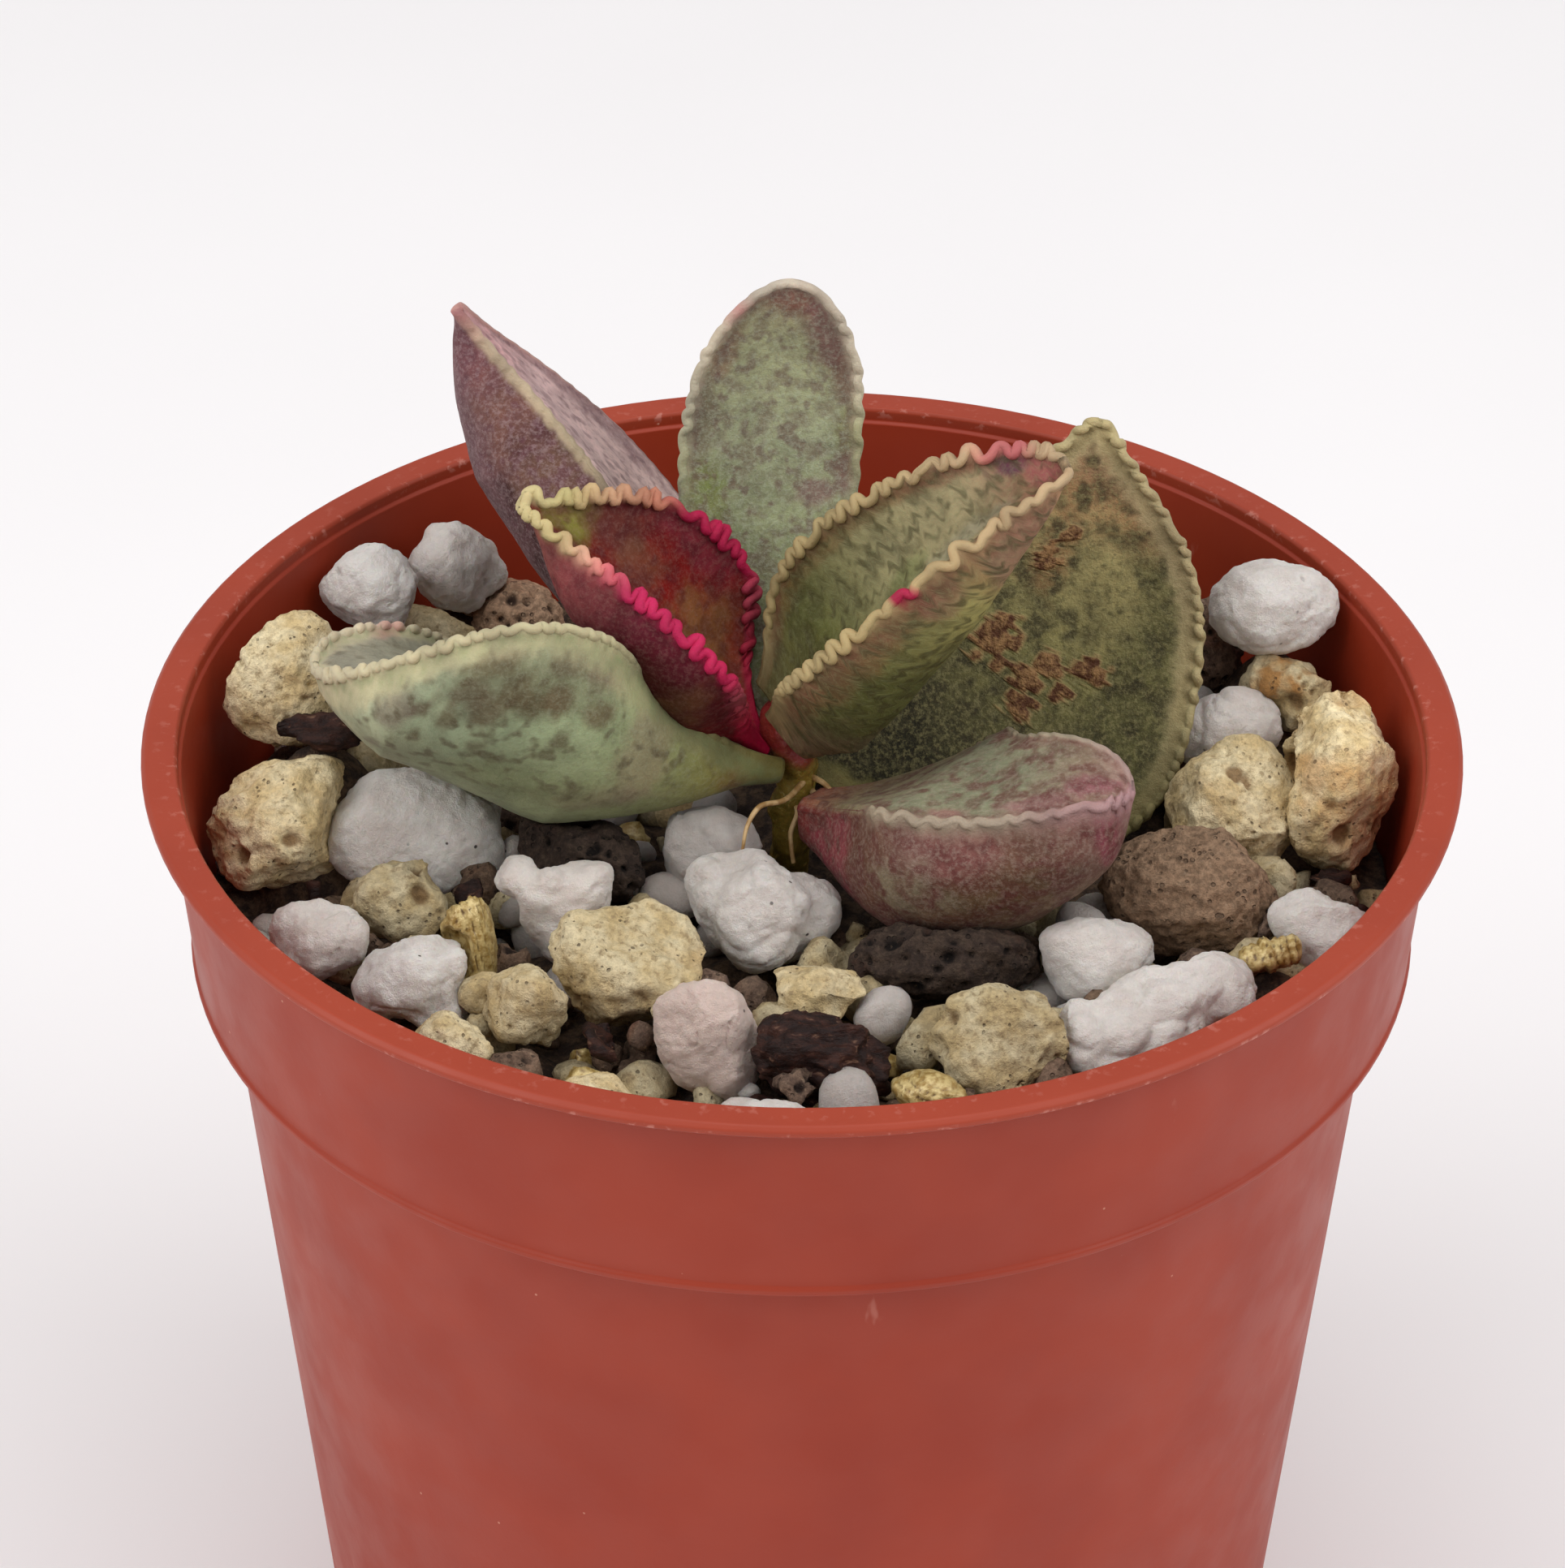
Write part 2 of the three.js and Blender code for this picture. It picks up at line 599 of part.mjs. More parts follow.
function add(name, solid, grown, color, roughness) {
  const clear = placed
    .filter((other) => touches(other, solid))
    .reduce((rest, other) => rest.subtract(other), solid);
  if (grown) placed.push(grown);
  const material = new THREE.MeshStandardMaterial({ color, roughness, metalness: 0 });
  const mesh = new THREE.Mesh(geometryOf(largestBody(clear)), material);
  mesh.name = name;
  plant.add(mesh);
}

add("pot", potSolid(), null, 0x99483a, 0.45);
add("stem", stemSolid(), stemSolid(GAP), 0x6b5a35, 0.8);
for (const [name, leaf] of Object.entries(LEAVES)) {
  add(name, leafSolid(leaf), leafSolid(leaf, GAP), leaf.color, 0.7);
}
const inside = insideSolid();
allStones.forEach(({ kind, stone, name }, i) => {
  const solid = stoneSolid(kind, stone, 100 + i).intersect(inside);
  add(name, solid, stoneSolid(kind, stone, 100 + i, GAP), STONES[kind].color, 0.95);
});
add("grit_bed", gritSolid().intersect(inside), null, 0x4a3c30, 1);

export default plant;
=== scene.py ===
"""A small Adromischus marianiae hybrid in a round plastic nursery pot of coarse grit.

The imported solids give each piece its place. This script dresses them: finer leaves with crinkled
margins, lumpy and pitted stones, loose crumbs between them, and a turned plastic pot.
The tables are in millimetres, with heights from the rim of the pot where no comment says otherwise.
The meshes are made in metres.
"""

import math
import random

import bmesh
import bpy
import numpy as np
from mathutils import Matrix, Vector, noise
from mathutils.bvhtree import BVHTree


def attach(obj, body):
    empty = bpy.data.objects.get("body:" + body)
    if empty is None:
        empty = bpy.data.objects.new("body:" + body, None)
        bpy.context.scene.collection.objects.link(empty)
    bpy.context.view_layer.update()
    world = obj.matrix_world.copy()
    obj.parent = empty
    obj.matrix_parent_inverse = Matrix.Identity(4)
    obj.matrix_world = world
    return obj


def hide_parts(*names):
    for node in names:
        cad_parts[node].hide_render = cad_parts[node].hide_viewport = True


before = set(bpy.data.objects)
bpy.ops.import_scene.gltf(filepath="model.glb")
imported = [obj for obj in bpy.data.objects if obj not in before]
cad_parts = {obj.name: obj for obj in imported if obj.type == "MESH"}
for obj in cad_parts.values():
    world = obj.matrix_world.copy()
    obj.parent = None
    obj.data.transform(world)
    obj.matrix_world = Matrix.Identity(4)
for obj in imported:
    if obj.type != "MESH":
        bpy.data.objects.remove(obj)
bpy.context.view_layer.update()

MM = 0.001
POT_HEIGHT = 50.0
RIM = np.array([0.0, 0.0, POT_HEIGHT])


# Small helpers


def linear(r, g, b):
    """A colour seen on a screen, 0 to 255, as linear light."""
    srgb = np.array([r, g, b], float) / 255
    return np.where(srgb <= 0.04045, srgb / 12.92, ((srgb + 0.055) / 1.055) ** 2.4)


def rgba(colour):
    return (*[float(c) for c in linear(*colour)], 1.0)


def smooth(value, low, high):
    """0 below low, 1 above high, and an even S between them."""
    f = np.clip((np.asarray(value, float) - low) / (high - low), 0, 1)
    return f * f * (3 - 2 * f)


def spline(values, t):
    """A smooth curve through evenly spaced values, at each t from 0 to 1."""
    values = np.array(values, float)
    last = len(values) - 1
    i = np.minimum(np.floor(t * last).astype(int), last - 1)
    f = t * last - i
    a, b, c, d = (values[np.clip(i + k, 0, last)] for k in (-1, 0, 1, 2))
    if values.ndim > 1:
        f = f[:, None]
    return b + 0.5 * f * (c - a + f * (2 * a - 5 * b + 4 * c - d + f * (3 * (b - c) + d - a)))


def unit(rows):
    return rows / np.linalg.norm(rows, axis=-1, keepdims=True)


def run_along(rows):
    """How far along the line of points each of them is."""
    return np.concatenate([[0], np.cumsum(np.linalg.norm(np.diff(rows, axis=0), axis=1))])


def circle(count):
    return np.arange(count) * 2 * math.pi / count


def wander(points, scale, seed=0.0):
    """Smooth noise from about -1 to 1 at each row of points."""
    return np.array([noise.noise(Vector(p) * scale + Vector((seed, 1.7 * seed, -seed))) for p in points])


def placed(name, data):
    """A new object in the scene that holds this mesh, light or camera."""
    thing = bpy.data.objects.new(name, data)
    bpy.context.scene.collection.objects.link(thing)
    return thing


def smooth_mesh(name, verts, faces):
    mesh = bpy.data.meshes.new(name)
    mesh.from_pydata(np.asarray(verts).tolist(), [], faces)
    mesh.polygons.foreach_set("use_smooth", [True] * len(mesh.polygons))
    mesh.update()
    return mesh


def mesh_piece(name, verts_mm, faces, material, node=None):
    """A smooth-shaded piece of the object, from points in millimetres."""
    piece = placed(name, smooth_mesh(name, np.asarray(verts_mm) * MM, faces))
    piece.data.materials.append(material)
    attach(piece, "root")
    if node:
        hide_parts(node)
    return piece


def reshaped(verts, faces, kind, **settings):
    """The points and faces that one modifier makes of these."""
    mesh = smooth_mesh("before", verts, faces)
    holder = placed("before", mesh)
    modifier = holder.modifiers.new("change", kind)
    for key, value in settings.items():
        setattr(modifier, key, value)
    shaped = holder.evaluated_get(bpy.context.evaluated_depsgraph_get()).to_mesh()
    points = np.empty(len(shaped.vertices) * 3)
    shaped.vertices.foreach_get("co", points)
    polygons = [tuple(p.vertices) for p in shaped.polygons]
    bpy.data.objects.remove(holder)
    bpy.data.meshes.remove(mesh)
    return points.reshape(-1, 3), polygons


def paint(piece, name, values):
    """Stores one number or one colour for each point, for the material to read."""
    values = np.asarray(values, np.float32)
    kind = "FLOAT" if values.ndim == 1 else "FLOAT_COLOR"
    if values.ndim > 1:
        values = np.concatenate([values, np.ones((len(values), 1), np.float32)], axis=1)
    layer = piece.data.attributes.new(name, kind, "POINT")
    layer.data.foreach_set("value" if kind == "FLOAT" else "color", values.ravel())


def tube_faces(rings, count, turned_round=False):
    """Quads between rings that all have the same number of points, and a cap on each end."""
    faces = []
    for i in range(rings - 1):
        for j in range(count):
            k = (j + 1) % count
            faces.append((i * count + j, i * count + k, (i + 1) * count + k, (i + 1) * count + j))
    faces.append(tuple(range(count))[::-1])
    faces.append(tuple(range((rings - 1) * count, rings * count)))
    return [f[::-1] for f in faces] if turned_round else faces


def fused(parts):
    """Several meshes as one list of points and one list of faces."""
    verts, faces, start = [], [], 0
    for part_verts, part_faces in parts:
        verts.append(part_verts)
        faces += [tuple(v + start for v in f) for f in part_faces]
        start += len(part_verts)
    return np.concatenate(verts), faces


def rod(points, radii, sides, steps):
    """A round rod along a smooth line."""
    line = spline(points, np.linspace(0, 1, steps))
    size = spline(radii, np.linspace(0, 1, steps))
    way = unit(np.gradient(line, axis=0))
    side = np.zeros_like(way)
    side[0] = unit(np.cross(way[0], (0.3, 0.9, 0.2)))
    for i in range(1, steps):
        side[i] = unit(side[i - 1] - way[i] * (side[i - 1] @ way[i]))
    angle = circle(sides)[:, None]
    ring = side[:, None] * np.cos(angle) + np.cross(way, side)[:, None] * np.sin(angle)
    verts = (line[:, None] + ring * size[:, None, None]).reshape(-1, 3)
    return verts, tube_faces(steps, sides)


def turned(profile, spokes):
    """A profile of radius and height turned about the upright axis."""
    profile = np.array(profile, float)
    angle = circle(spokes)
    across, height = profile[:, :1], profile[:, 1:]
    verts = np.stack([across * np.cos(angle), across * np.sin(angle), np.repeat(height, spokes, 1)], axis=-1)
    return verts.reshape(-1, 3), tube_faces(len(profile), spokes)


# Leaves: the same line, face, turn, widths and curl as the solids that they stand for

LEAF_MARGIN = 0.6  # thickness of the blade behind its margin
TIP_START = 0.72  # where along the leaf its outline begins to close
TIP_BLUNT = 0.15  # half the width that is left at the very tip
NARROWEST = 0.2
FULL_FLESH = 0.8  # the blade is full-fleshed where it is this share of its greatest width
BODY_STATIONS = 143
TIP_STATIONS = 64
LEAF_ACROSS = 48
MARGIN_CROWDING = 1.1  # how much closer together the points across lie towards the margins
BEAD = 0.16  # half the thickness of the blade at its margin
GROOVE = 0.03  # how much thinner the blade is just behind that
CORD = 0.22  # radius of the cord that runs along the margin
CORD_STEPS = 415
CORD_SIDES = 8
BLADE_REACH = 1.5  # how far in from the margin the blade has its full thickness
CORD_REACH = 0.6  # how far in from the margin the crinkles reach
PUFF_HEIGHT = 0.055  # how deep the dips between the puffs of flesh are
BARE_STALK = (0.0, 0.12)  # where along the leaf the bead and the crinkles begin
BARE_COLOUR = (-0.2, 0.05)  # where along the leaf the colour of the margin begins
GRAIN = 0.2  # size of the pale grains of powder

# Shape. line, face, turn, half_width, cup and thick give the blade; fill lifts the trough of its upper
# face, slim thins its tip and even smooths it along. crinkle and pitch are the height and the beat of
# the waves on the left and the right margin, from the stalk to the tip; ruffle is how much they leave
# the blade, scallop how they slant, and stray how uneven their beat is.
# Skin. puffs is the depth of the quilting, and rough of the grain; blotch, spots and dip_tone are the
# dark mottling, fleck how mottled the upper and the under face are, and clear how much of the under
# face is free of it; powder and granule are the pale grains, wide how much wider than long the mottles
# are, seam the darker strip painted behind the margin as the shade in the groove behind its cord, and
# pale and rim_width where the margin's colour lies.
# Colour. The bases and rims are rows of place along the leaf and colour. upper and under are soft
# patches on that face: place along and across, reach both ways, colour and strength. scars are places
# along and across the upper face, and sizes.

LEAVES = {}
LEAVES["leaf_right_front"] = dict(
    line=[[0.4, -0.3, -3.4], [7.9, -4.6, -2.9], [7.7, -6.2, 0.8], [13.6, -6, 1.4]], face=[0.05, -0.25, 1],
    turn=[-25, -7], half_width=[0.8, 3.3, 5, 3.7, 3, 2.8], cup=[60, 61], thick=4.6,
    crinkle=[[0.04, 0.06, 0.08, 0.08], [0.06, 0.13, 0.15, 0.12]],
    pitch=[[0.9, 0.9, 0.8, 0.7], [0.8, 0.95, 1.1, 0.9]], fill=0.9, ruffle=0.7, cord=0.16, even=70,
    puffs=0.7, blotch_size=0.7, seam=((118, 76, 68), 0.6), dip_tone=0.8, fleck=(0.8, 0.9),
    blotch=(92, 46, 42), powder=0.25, grain=0.22, sheen=0.02, granule=(184, 168, 152), bare=(0.18, 0.4),
    rough=0.08, rim_width=0.4,
    upper_base=[
        (0, 154, 88, 68), (0.12, 133, 120, 86), (0.4, 121, 122, 95), (0.7, 132, 134, 106),
        (0.9, 136, 116, 95), (1, 159, 127, 117),
    ],
    under_base=[
        (0, 119, 42, 40), (0.15, 105, 60, 48), (0.4, 84, 60, 40), (0.7, 95, 74, 49), (0.9, 108, 80, 71),
        (1, 139, 116, 109),
    ],
    left_rim=[
        (0, 120, 74, 63), (0.3, 125, 110, 88), (0.6, 138, 125, 103), (0.85, 162, 147, 125),
        (1, 167, 138, 131),
    ],
    right_rim=[
        (0, 125, 55, 55), (0.22, 131, 88, 81), (0.32, 162, 145, 123), (0.7, 169, 151, 132),
        (0.82, 164, 131, 125), (1, 166, 127, 129),
    ],
    upper=[
        (0.9, 0.35, 0.07, 0.3, 132, 70, 84, 0.8), (0.78, 0.66, 0.1, 0.25, 136, 86, 90, 0.75),
        (0.55, 0.8, 0.05, 0.12, 144, 84, 88, 0.6), (0.7, -0.72, 0.12, 0.14, 122, 88, 78, 0.6),
        (0.45, -0.8, 0.06, 0.12, 122, 78, 74, 0.6),
    ],
    under=[
        (0.12, 0.55, 0.08, 0.5, 140, 52, 70, 0.6), (0.3, 0.35, 0.1, 0.2, 136, 64, 78, 0.5),
        (0.93, 0.72, 0.04, 0.3, 134, 42, 74, 0.8), (0.55, 0.85, 0.14, 0.1, 128, 62, 70, 0.6),
        (0.42, 0.7, 0.1, 0.16, 150, 142, 116, 0.5), (0.45, 0.45, 0.1, 0.14, 116, 74, 56, 0.5),
        (0.7, 0.35, 0.2, 0.2, 138, 116, 92, 0.5),
    ],
)
LEAVES["leaf_centre_right"] = dict(
    line=[[-0.9, 0.8, 0], [2.8, 1.7, 2.9], [5, 0.3, 10.4], [10.9, 1.8, 12.1]], face=[-0.5, -0.3, 0.8],
    turn=[-21, 4], half_width=[2, 4.8, 5, 3.8, 2.5, 1.6], cup=[89, 59], thick=3,
    crinkle=[[0.08, 0.14, 0.18, 0.14], [0.08, 0.14, 0.24, 0.14]],
    pitch=[[0.8, 0.8, 0.95, 0.9], [0.66, 0.72, 1.5, 0.9]], fill=0.1, scallop=(-1, 0.5), stray=0.9,
    puffs=1.3, blotch_size=0.5, seam=((104, 58, 44), 0.75), dip_tone=0.75, fleck=(0.72, 0.8),
    blotch=(62, 56, 28), powder=0.16, grain=0.24, granule=(154, 158, 112), bare=(0.03, 0.18),
    pale=(-0.1, 0.12), wide=1.15, rim_width=0.42,
    upper_base=[
        (0, 92, 82, 42), (0.25, 93, 96, 48), (0.5, 144, 136, 98), (0.75, 149, 135, 100), (0.9, 140, 98, 76),
        (1, 160, 100, 88),
    ],
    under_base=[
        (0, 120, 88, 62), (0.15, 81, 80, 40), (0.4, 88, 89, 45), (0.65, 155, 147, 90), (0.85, 215, 165, 120),
        (1, 216, 170, 122),
    ],
    left_rim=[
        (0, 131, 110, 77), (0.12, 151, 132, 90), (0.45, 169, 148, 105), (0.65, 179, 154, 113),
        (0.8, 184, 154, 120), (0.85, 182, 104, 99), (0.92, 186, 99, 101), (0.95, 188, 156, 123),
        (1, 188, 162, 127),
    ],
    right_rim=[
        (0, 140, 120, 84), (0.2, 168, 148, 106), (0.5, 175, 152, 107), (0.553, 175, 150, 107),
        (0.566, 163, 26, 64), (0.602, 165, 30, 67), (0.615, 177, 152, 109), (0.8, 182, 154, 116),
        (1, 188, 158, 123),
    ],
    upper=[
        (0.88, -0.62, 0.05, 0.3, 84, 34, 62, 0.95), (0.95, 0, 0.05, 0.7, 136, 66, 70, 0.75),
        (0.7, 0.3, 0.16, 0.25, 150, 144, 122, 0.55), (0.4, -0.84, 0.4, 0.1, 116, 88, 52, 0.6),
        (0.75, -0.78, 0.12, 0.12, 128, 82, 60, 0.6), (0.52, 0, 0.08, 0.2, 98, 112, 58, 0.5),
    ],
    under=[
        (0.35, 0.86, 0.3, 0.09, 112, 76, 52, 0.65), (0.62, 0.8, 0.05, 0.12, 118, 60, 66, 0.5),
        (0.82, 0.55, 0.12, 0.4, 134, 96, 92, 0.6), (0.12, 0, 0.12, 0.9, 124, 100, 84, 0.5),
    ],
)
LEAVES["leaf_left_front"] = dict(
    line=[[-1, 0.6, -2.2], [-10.2, -3.5, -0.2], [-15.5, 0.3, 3.1], [-20.3, -0.5, 3.6]],
    face=[0.1, 0.5, 0.85], turn=[51, -19], half_width=[0.2, 2.9, 6.9, 8, 5.5, 3.3], cup=[55, 32], thick=3.2,
    crinkle=[[0.08, 0.16, 0.22, 0.24], [0.08, 0.16, 0.22, 0.24]],
    pitch=[[0.8, 0.75, 0.75, 0.8], [0.8, 0.75, 0.75, 0.8]], fill=0.25, ruffle=0.5, stray=0.9,
    puffs=0.5, blotch_size=0.65, clear=0.7, seam=((128, 142, 96), 0.6), spots=(0.51, 0.75), dip_tone=0.15,
    fleck=(0.5, 0.8), blotch=(88, 76, 52), powder=0.2, sheen=0.06, granule=(178, 182, 156), rim_width=0.9,
    upper_base=[(0, 108, 102, 56), (0.5, 124, 124, 98), (0.75, 138, 136, 116), (1, 142, 134, 114)],
    under_base=[
        (0, 117, 98, 45), (0.1, 134, 127, 61), (0.2, 143, 149, 97), (0.35, 163, 177, 134),
        (0.6, 163, 181, 146), (0.85, 174, 180, 146), (1, 170, 167, 135),
    ],
    left_rim=[
        (0, 118, 110, 54), (0.25, 148, 142, 104), (0.4, 182, 172, 135), (0.7, 193, 180, 144),
        (0.85, 209, 195, 158), (1, 212, 197, 163),
    ],
    right_rim=[
        (0, 116, 108, 56), (0.5, 162, 158, 126), (0.78, 189, 177, 146), (0.82, 199, 145, 137),
        (0.86, 195, 179, 153), (1, 212, 197, 163),
    ],
    under=[
        (0.5, -0.8, 0.2, 0.2, 114, 104, 76, 0.55), (0.47, -0.68, 0.05, 0.07, 92, 80, 54, 0.85),
        (0.62, -0.6, 0.03, 0.06, 96, 84, 58, 0.8), (0.69, -0.68, 0.025, 0.05, 98, 84, 62, 0.8),
        (0.58, -0.86, 0.06, 0.06, 112, 98, 70, 0.8), (0.36, -0.66, 0.03, 0.06, 104, 88, 62, 0.8),
        (0.41, -0.5, 0.02, 0.05, 104, 92, 66, 0.7), (0.55, -0.42, 0.02, 0.04, 106, 98, 72, 0.7),
        (0.56, -0.62, 0.035, 0.1, 98, 84, 62, 0.8), (0.6, -0.72, 0.04, 0.08, 106, 92, 70, 0.7),
        (0.52, -0.74, 0.03, 0.1, 100, 86, 60, 0.7), (0.44, -0.7, 0.025, 0.08, 106, 92, 66, 0.8),
        (0.44, -0.85, 0.04, 0.06, 108, 92, 70, 0.7), (0.37, -0.84, 0.03, 0.06, 118, 92, 78, 0.7),
        (0.75, -0.7, 0.05, 0.12, 126, 112, 98, 0.7), (0.68, -0.5, 0.015, 0.05, 100, 90, 62, 0.8),
        (0.78, -0.35, 0.03, 0.05, 112, 98, 86, 0.6), (0.25, -0.5, 0.05, 0.4, 142, 112, 100, 0.45),
        (0.3, -0.12, 0.1, 0.12, 142, 122, 104, 0.5), (0.45, -0.2, 0.15, 0.15, 124, 134, 92, 0.5),
        (0.04, -0.1, 0.06, 0.4, 122, 76, 52, 0.6),
    ],
)
LEAVES["leaf_centre_left"] = dict(
    line=[[-1.5, 1.4, -1.7], [-4.9, 1.6, 1.1], [-5.4, 2.5, 4.8], [-11.6, 2.8, 9.6]], face=[0.6, -0.45, 0.65],
    turn=[35, 13], half_width=[0.4, 2.4, 5.1, 5.2, 3.7, 0.9], cup=[73, 75], thick=2.3,
    crinkle=[[0.09, 0.19, 0.2, 0.14], [0.12, 0.22, 0.26, 0.18]],
    pitch=[[0.75, 0.75, 0.8, 0.75], [0.8, 0.8, 0.9, 0.8]], fill=0.1, scallop=(0.5, -1), cord=0.21, stray=1.1,
    puffs=0.9, blotch_size=0.7, seam=((84, 18, 34), 0.6), dip_tone=0.9, fleck=(0.6, 0.6),
    blotch=(74, 22, 28), powder=0.12, granule=(176, 140, 128), bare=(0.08, 0.3), pale=(-0.2, 0.05),
    gloss=0.12, rim_width=0.42,
    upper_base=[
        (0, 156, 8, 44), (0.2, 140, 66, 40), (0.5, 121, 16, 13), (0.75, 105, 10, 8), (0.9, 99, 36, 21),
        (1, 133, 64, 36),
    ],
    under_base=[
        (0, 156, 8, 44), (0.18, 116, 12, 26), (0.45, 61, 14, 10), (0.7, 69, 13, 14), (0.85, 172, 84, 78),
        (1, 196, 132, 108),
    ],
    left_rim=[
        (0, 176, 14, 60), (0.16, 172, 26, 60), (0.3, 164, 78, 88), (0.4, 176, 30, 74), (0.76, 184, 38, 84),
        (0.82, 200, 100, 106), (0.87, 204, 154, 129), (0.92, 194, 173, 123), (1, 204, 186, 136),
    ],
    right_rim=[
        (0, 176, 14, 60), (0.25, 160, 40, 62), (0.38, 160, 62, 78), (0.46, 172, 28, 70), (0.7, 178, 32, 74),
        (0.76, 186, 116, 96), (0.86, 190, 148, 116), (0.93, 188, 173, 120), (1, 204, 186, 138),
    ],
    upper=[
        (0.9, 0.3, 0.06, 0.6, 120, 122, 52, 0.85), (0.68, -0.2, 0.1, 0.4, 124, 30, 42, 0.7),
        (0.5, -0.45, 0.12, 0.3, 118, 36, 42, 0.6), (0.6, 0.8, 0.16, 0.2, 112, 36, 50, 0.75),
        (0.8, 0.5, 0.08, 0.4, 96, 52, 44, 0.6), (0.4, 0.2, 0.16, 0.5, 124, 88, 50, 0.75),
        (0.7, 0.25, 0.08, 0.3, 104, 66, 44, 0.6),
    ],
    under=[
        (0.62, -0.86, 0.16, 0.14, 90, 20, 38, 0.7), (0.4, -0.5, 0.08, 0.4, 104, 72, 46, 0.6),
        (0.8, -0.5, 0.14, 0.4, 108, 48, 58, 0.6),
    ],
)
LEAVES["leaf_right_back"] = dict(
    line=[[0.6, 1.9, -2], [8.7, 5.7, -4.1], [11.6, 8.8, 1], [12.5, 11, 8.5]], face=[-0.5, -0.65, 0.6],
    turn=[28, 33], half_width=[1.4, 6, 8.7, 7.3, 4.9, 1.4], cup=[10, 20], thick=2.8,
    crinkle=[[0.16, 0.24, 0.26, 0.32], [0.16, 0.26, 0.28, 0.34]],
    pitch=[[0.8, 0.8, 0.8, 0.9], [0.8, 0.75, 0.8, 0.95]], ruffle=0.55, cord=0.2,
    puffs=0.8, blotch_size=0.8, seam=((112, 96, 58), 0.5), dip_tone=0.9, fleck=(0.9, 0.6),
    blotch=(52, 46, 26), powder=0.55, grain=0.22, granule=(142, 134, 90), rough=0.12, rim_width=1.1,
    # Near the stalk the upper face is the leaf's own dark green, deepened by painted shade where it lies in
    # the shade of the other leaves.
    upper_base=[
        (0, 29, 27, 10), (0.2, 33, 30, 10), (0.5, 123, 117, 70), (0.75, 152, 139, 92), (0.9, 181, 133, 93),
        (1, 192, 147, 102),
    ],
    under_base=[(0, 104, 84, 68), (0.5, 130, 108, 92), (1, 142, 122, 96)],
    left_rim=[(0, 116, 109, 63), (0.3, 141, 128, 90), (0.8, 166, 147, 111), (1, 182, 165, 121)],
    right_rim=[
        (0, 116, 109, 63), (0.3, 132, 125, 73), (0.5, 154, 142, 102), (0.65, 182, 165, 122),
        (0.85, 175, 155, 117), (1, 182, 165, 121),
    ],
    upper=[
        (0.93, 0, 0.06, 0.6, 140, 112, 84, 0.7), (0.985, 0, 0.03, 1.2, 168, 150, 110, 0.6),
        (0.73, -0.1, 0.1, 0.16, 132, 92, 60, 0.7), (0.5, 0.72, 0.3, 0.26, 84, 82, 46, 0.8),
        (0.82, 0.6, 0.05, 0.2, 120, 84, 56, 0.5),
    ],
    scars=[
        (0.485, -0.13, 1.35), (0.44, -0.01, 0.6), (0.45, 0.12, 0.9), (0.41, 0.2, 0.9), (0.51, 0.2, 0.75),
        (0.48, 0.29, 0.6), (0.54, 0.41, 0.95), (0.71, -0.15, 0.8), (0.77, -0.03, 0.6),
    ],
)
LEAVES["leaf_centre_back"] = dict(
    line=[[-0.6, 2.9, -1], [-2.1, 8.8, 3.5], [-1.6, 11.4, 9.2], [-0.4, 11, 15.1]], face=[0, -1, 0.35],
    turn=[4, 15], half_width=[1, 2.5, 3.5, 3.7, 3.4, 3], cup=[17, 28], thick=2.8,
    crinkle=[[0.1, 0.16, 0.2, 0.1], [0.1, 0.24, 0.3, 0.1]], pitch=[[1, 1, 1, 1.1], [1.2, 1.3, 1.4, 1.2]],
    ruffle=0.35, slim=0.6, cord=0.2,
    puffs=0.6, blotch_size=0.55, seam=((120, 96, 84), 0.5), spots=(0.49, 0.7), dip_tone=0.8,
    fleck=(0.75, 0.7), blotch=(106, 82, 74), powder=0.34, sheen=0.06, granule=(178, 184, 162),
    bare=(0.4, 0.54), rough=0.08, rim_width=0.5,
    upper_base=[
        (0, 109, 111, 70), (0.3, 135, 141, 101), (0.6, 149, 153, 119), (0.85, 166, 167, 127),
        (1, 157, 137, 109),
    ],
    under_base=[(0, 110, 106, 76), (0.5, 128, 122, 100), (1, 124, 104, 94)],
    left_rim=[
        (0, 122, 122, 102), (0.42, 130, 130, 105), (0.54, 166, 162, 127), (0.7, 190, 178, 155),
        (0.88, 198, 180, 158), (0.93, 192, 140, 132), (0.97, 198, 182, 163),
    ],
    right_rim=[
        (0, 122, 122, 102), (0.4, 130, 128, 105), (0.52, 150, 142, 110), (0.64, 164, 158, 121),
        (0.76, 190, 176, 153), (1, 202, 184, 165),
    ],
    upper=[
        (0.47, -0.72, 0.07, 0.3, 124, 134, 72, 0.95), (0.4, -0.8, 0.09, 0.3, 128, 134, 86, 0.7),
        (0.36, 0.85, 0.09, 0.3, 120, 126, 76, 0.7), (0.63, 0.85, 0.07, 0.12, 138, 142, 92, 0.7),
        (0.97, 0.2, 0.05, 0.9, 126, 70, 64, 0.8), (0.88, 0.66, 0.09, 0.3, 118, 74, 76, 0.85),
        (0.78, 0.8, 0.07, 0.16, 108, 72, 66, 0.75), (0.66, -0.8, 0.13, 0.14, 112, 96, 78, 0.7),
        (0.82, -0.72, 0.08, 0.16, 120, 88, 72, 0.7), (0.47, 0.55, 0.035, 0.22, 118, 86, 84, 0.8),
        (0.52, 0.88, 0.05, 0.14, 120, 74, 78, 0.7), (0.55, 0.8, 0.03, 0.14, 104, 64, 60, 0.6),
    ],
)
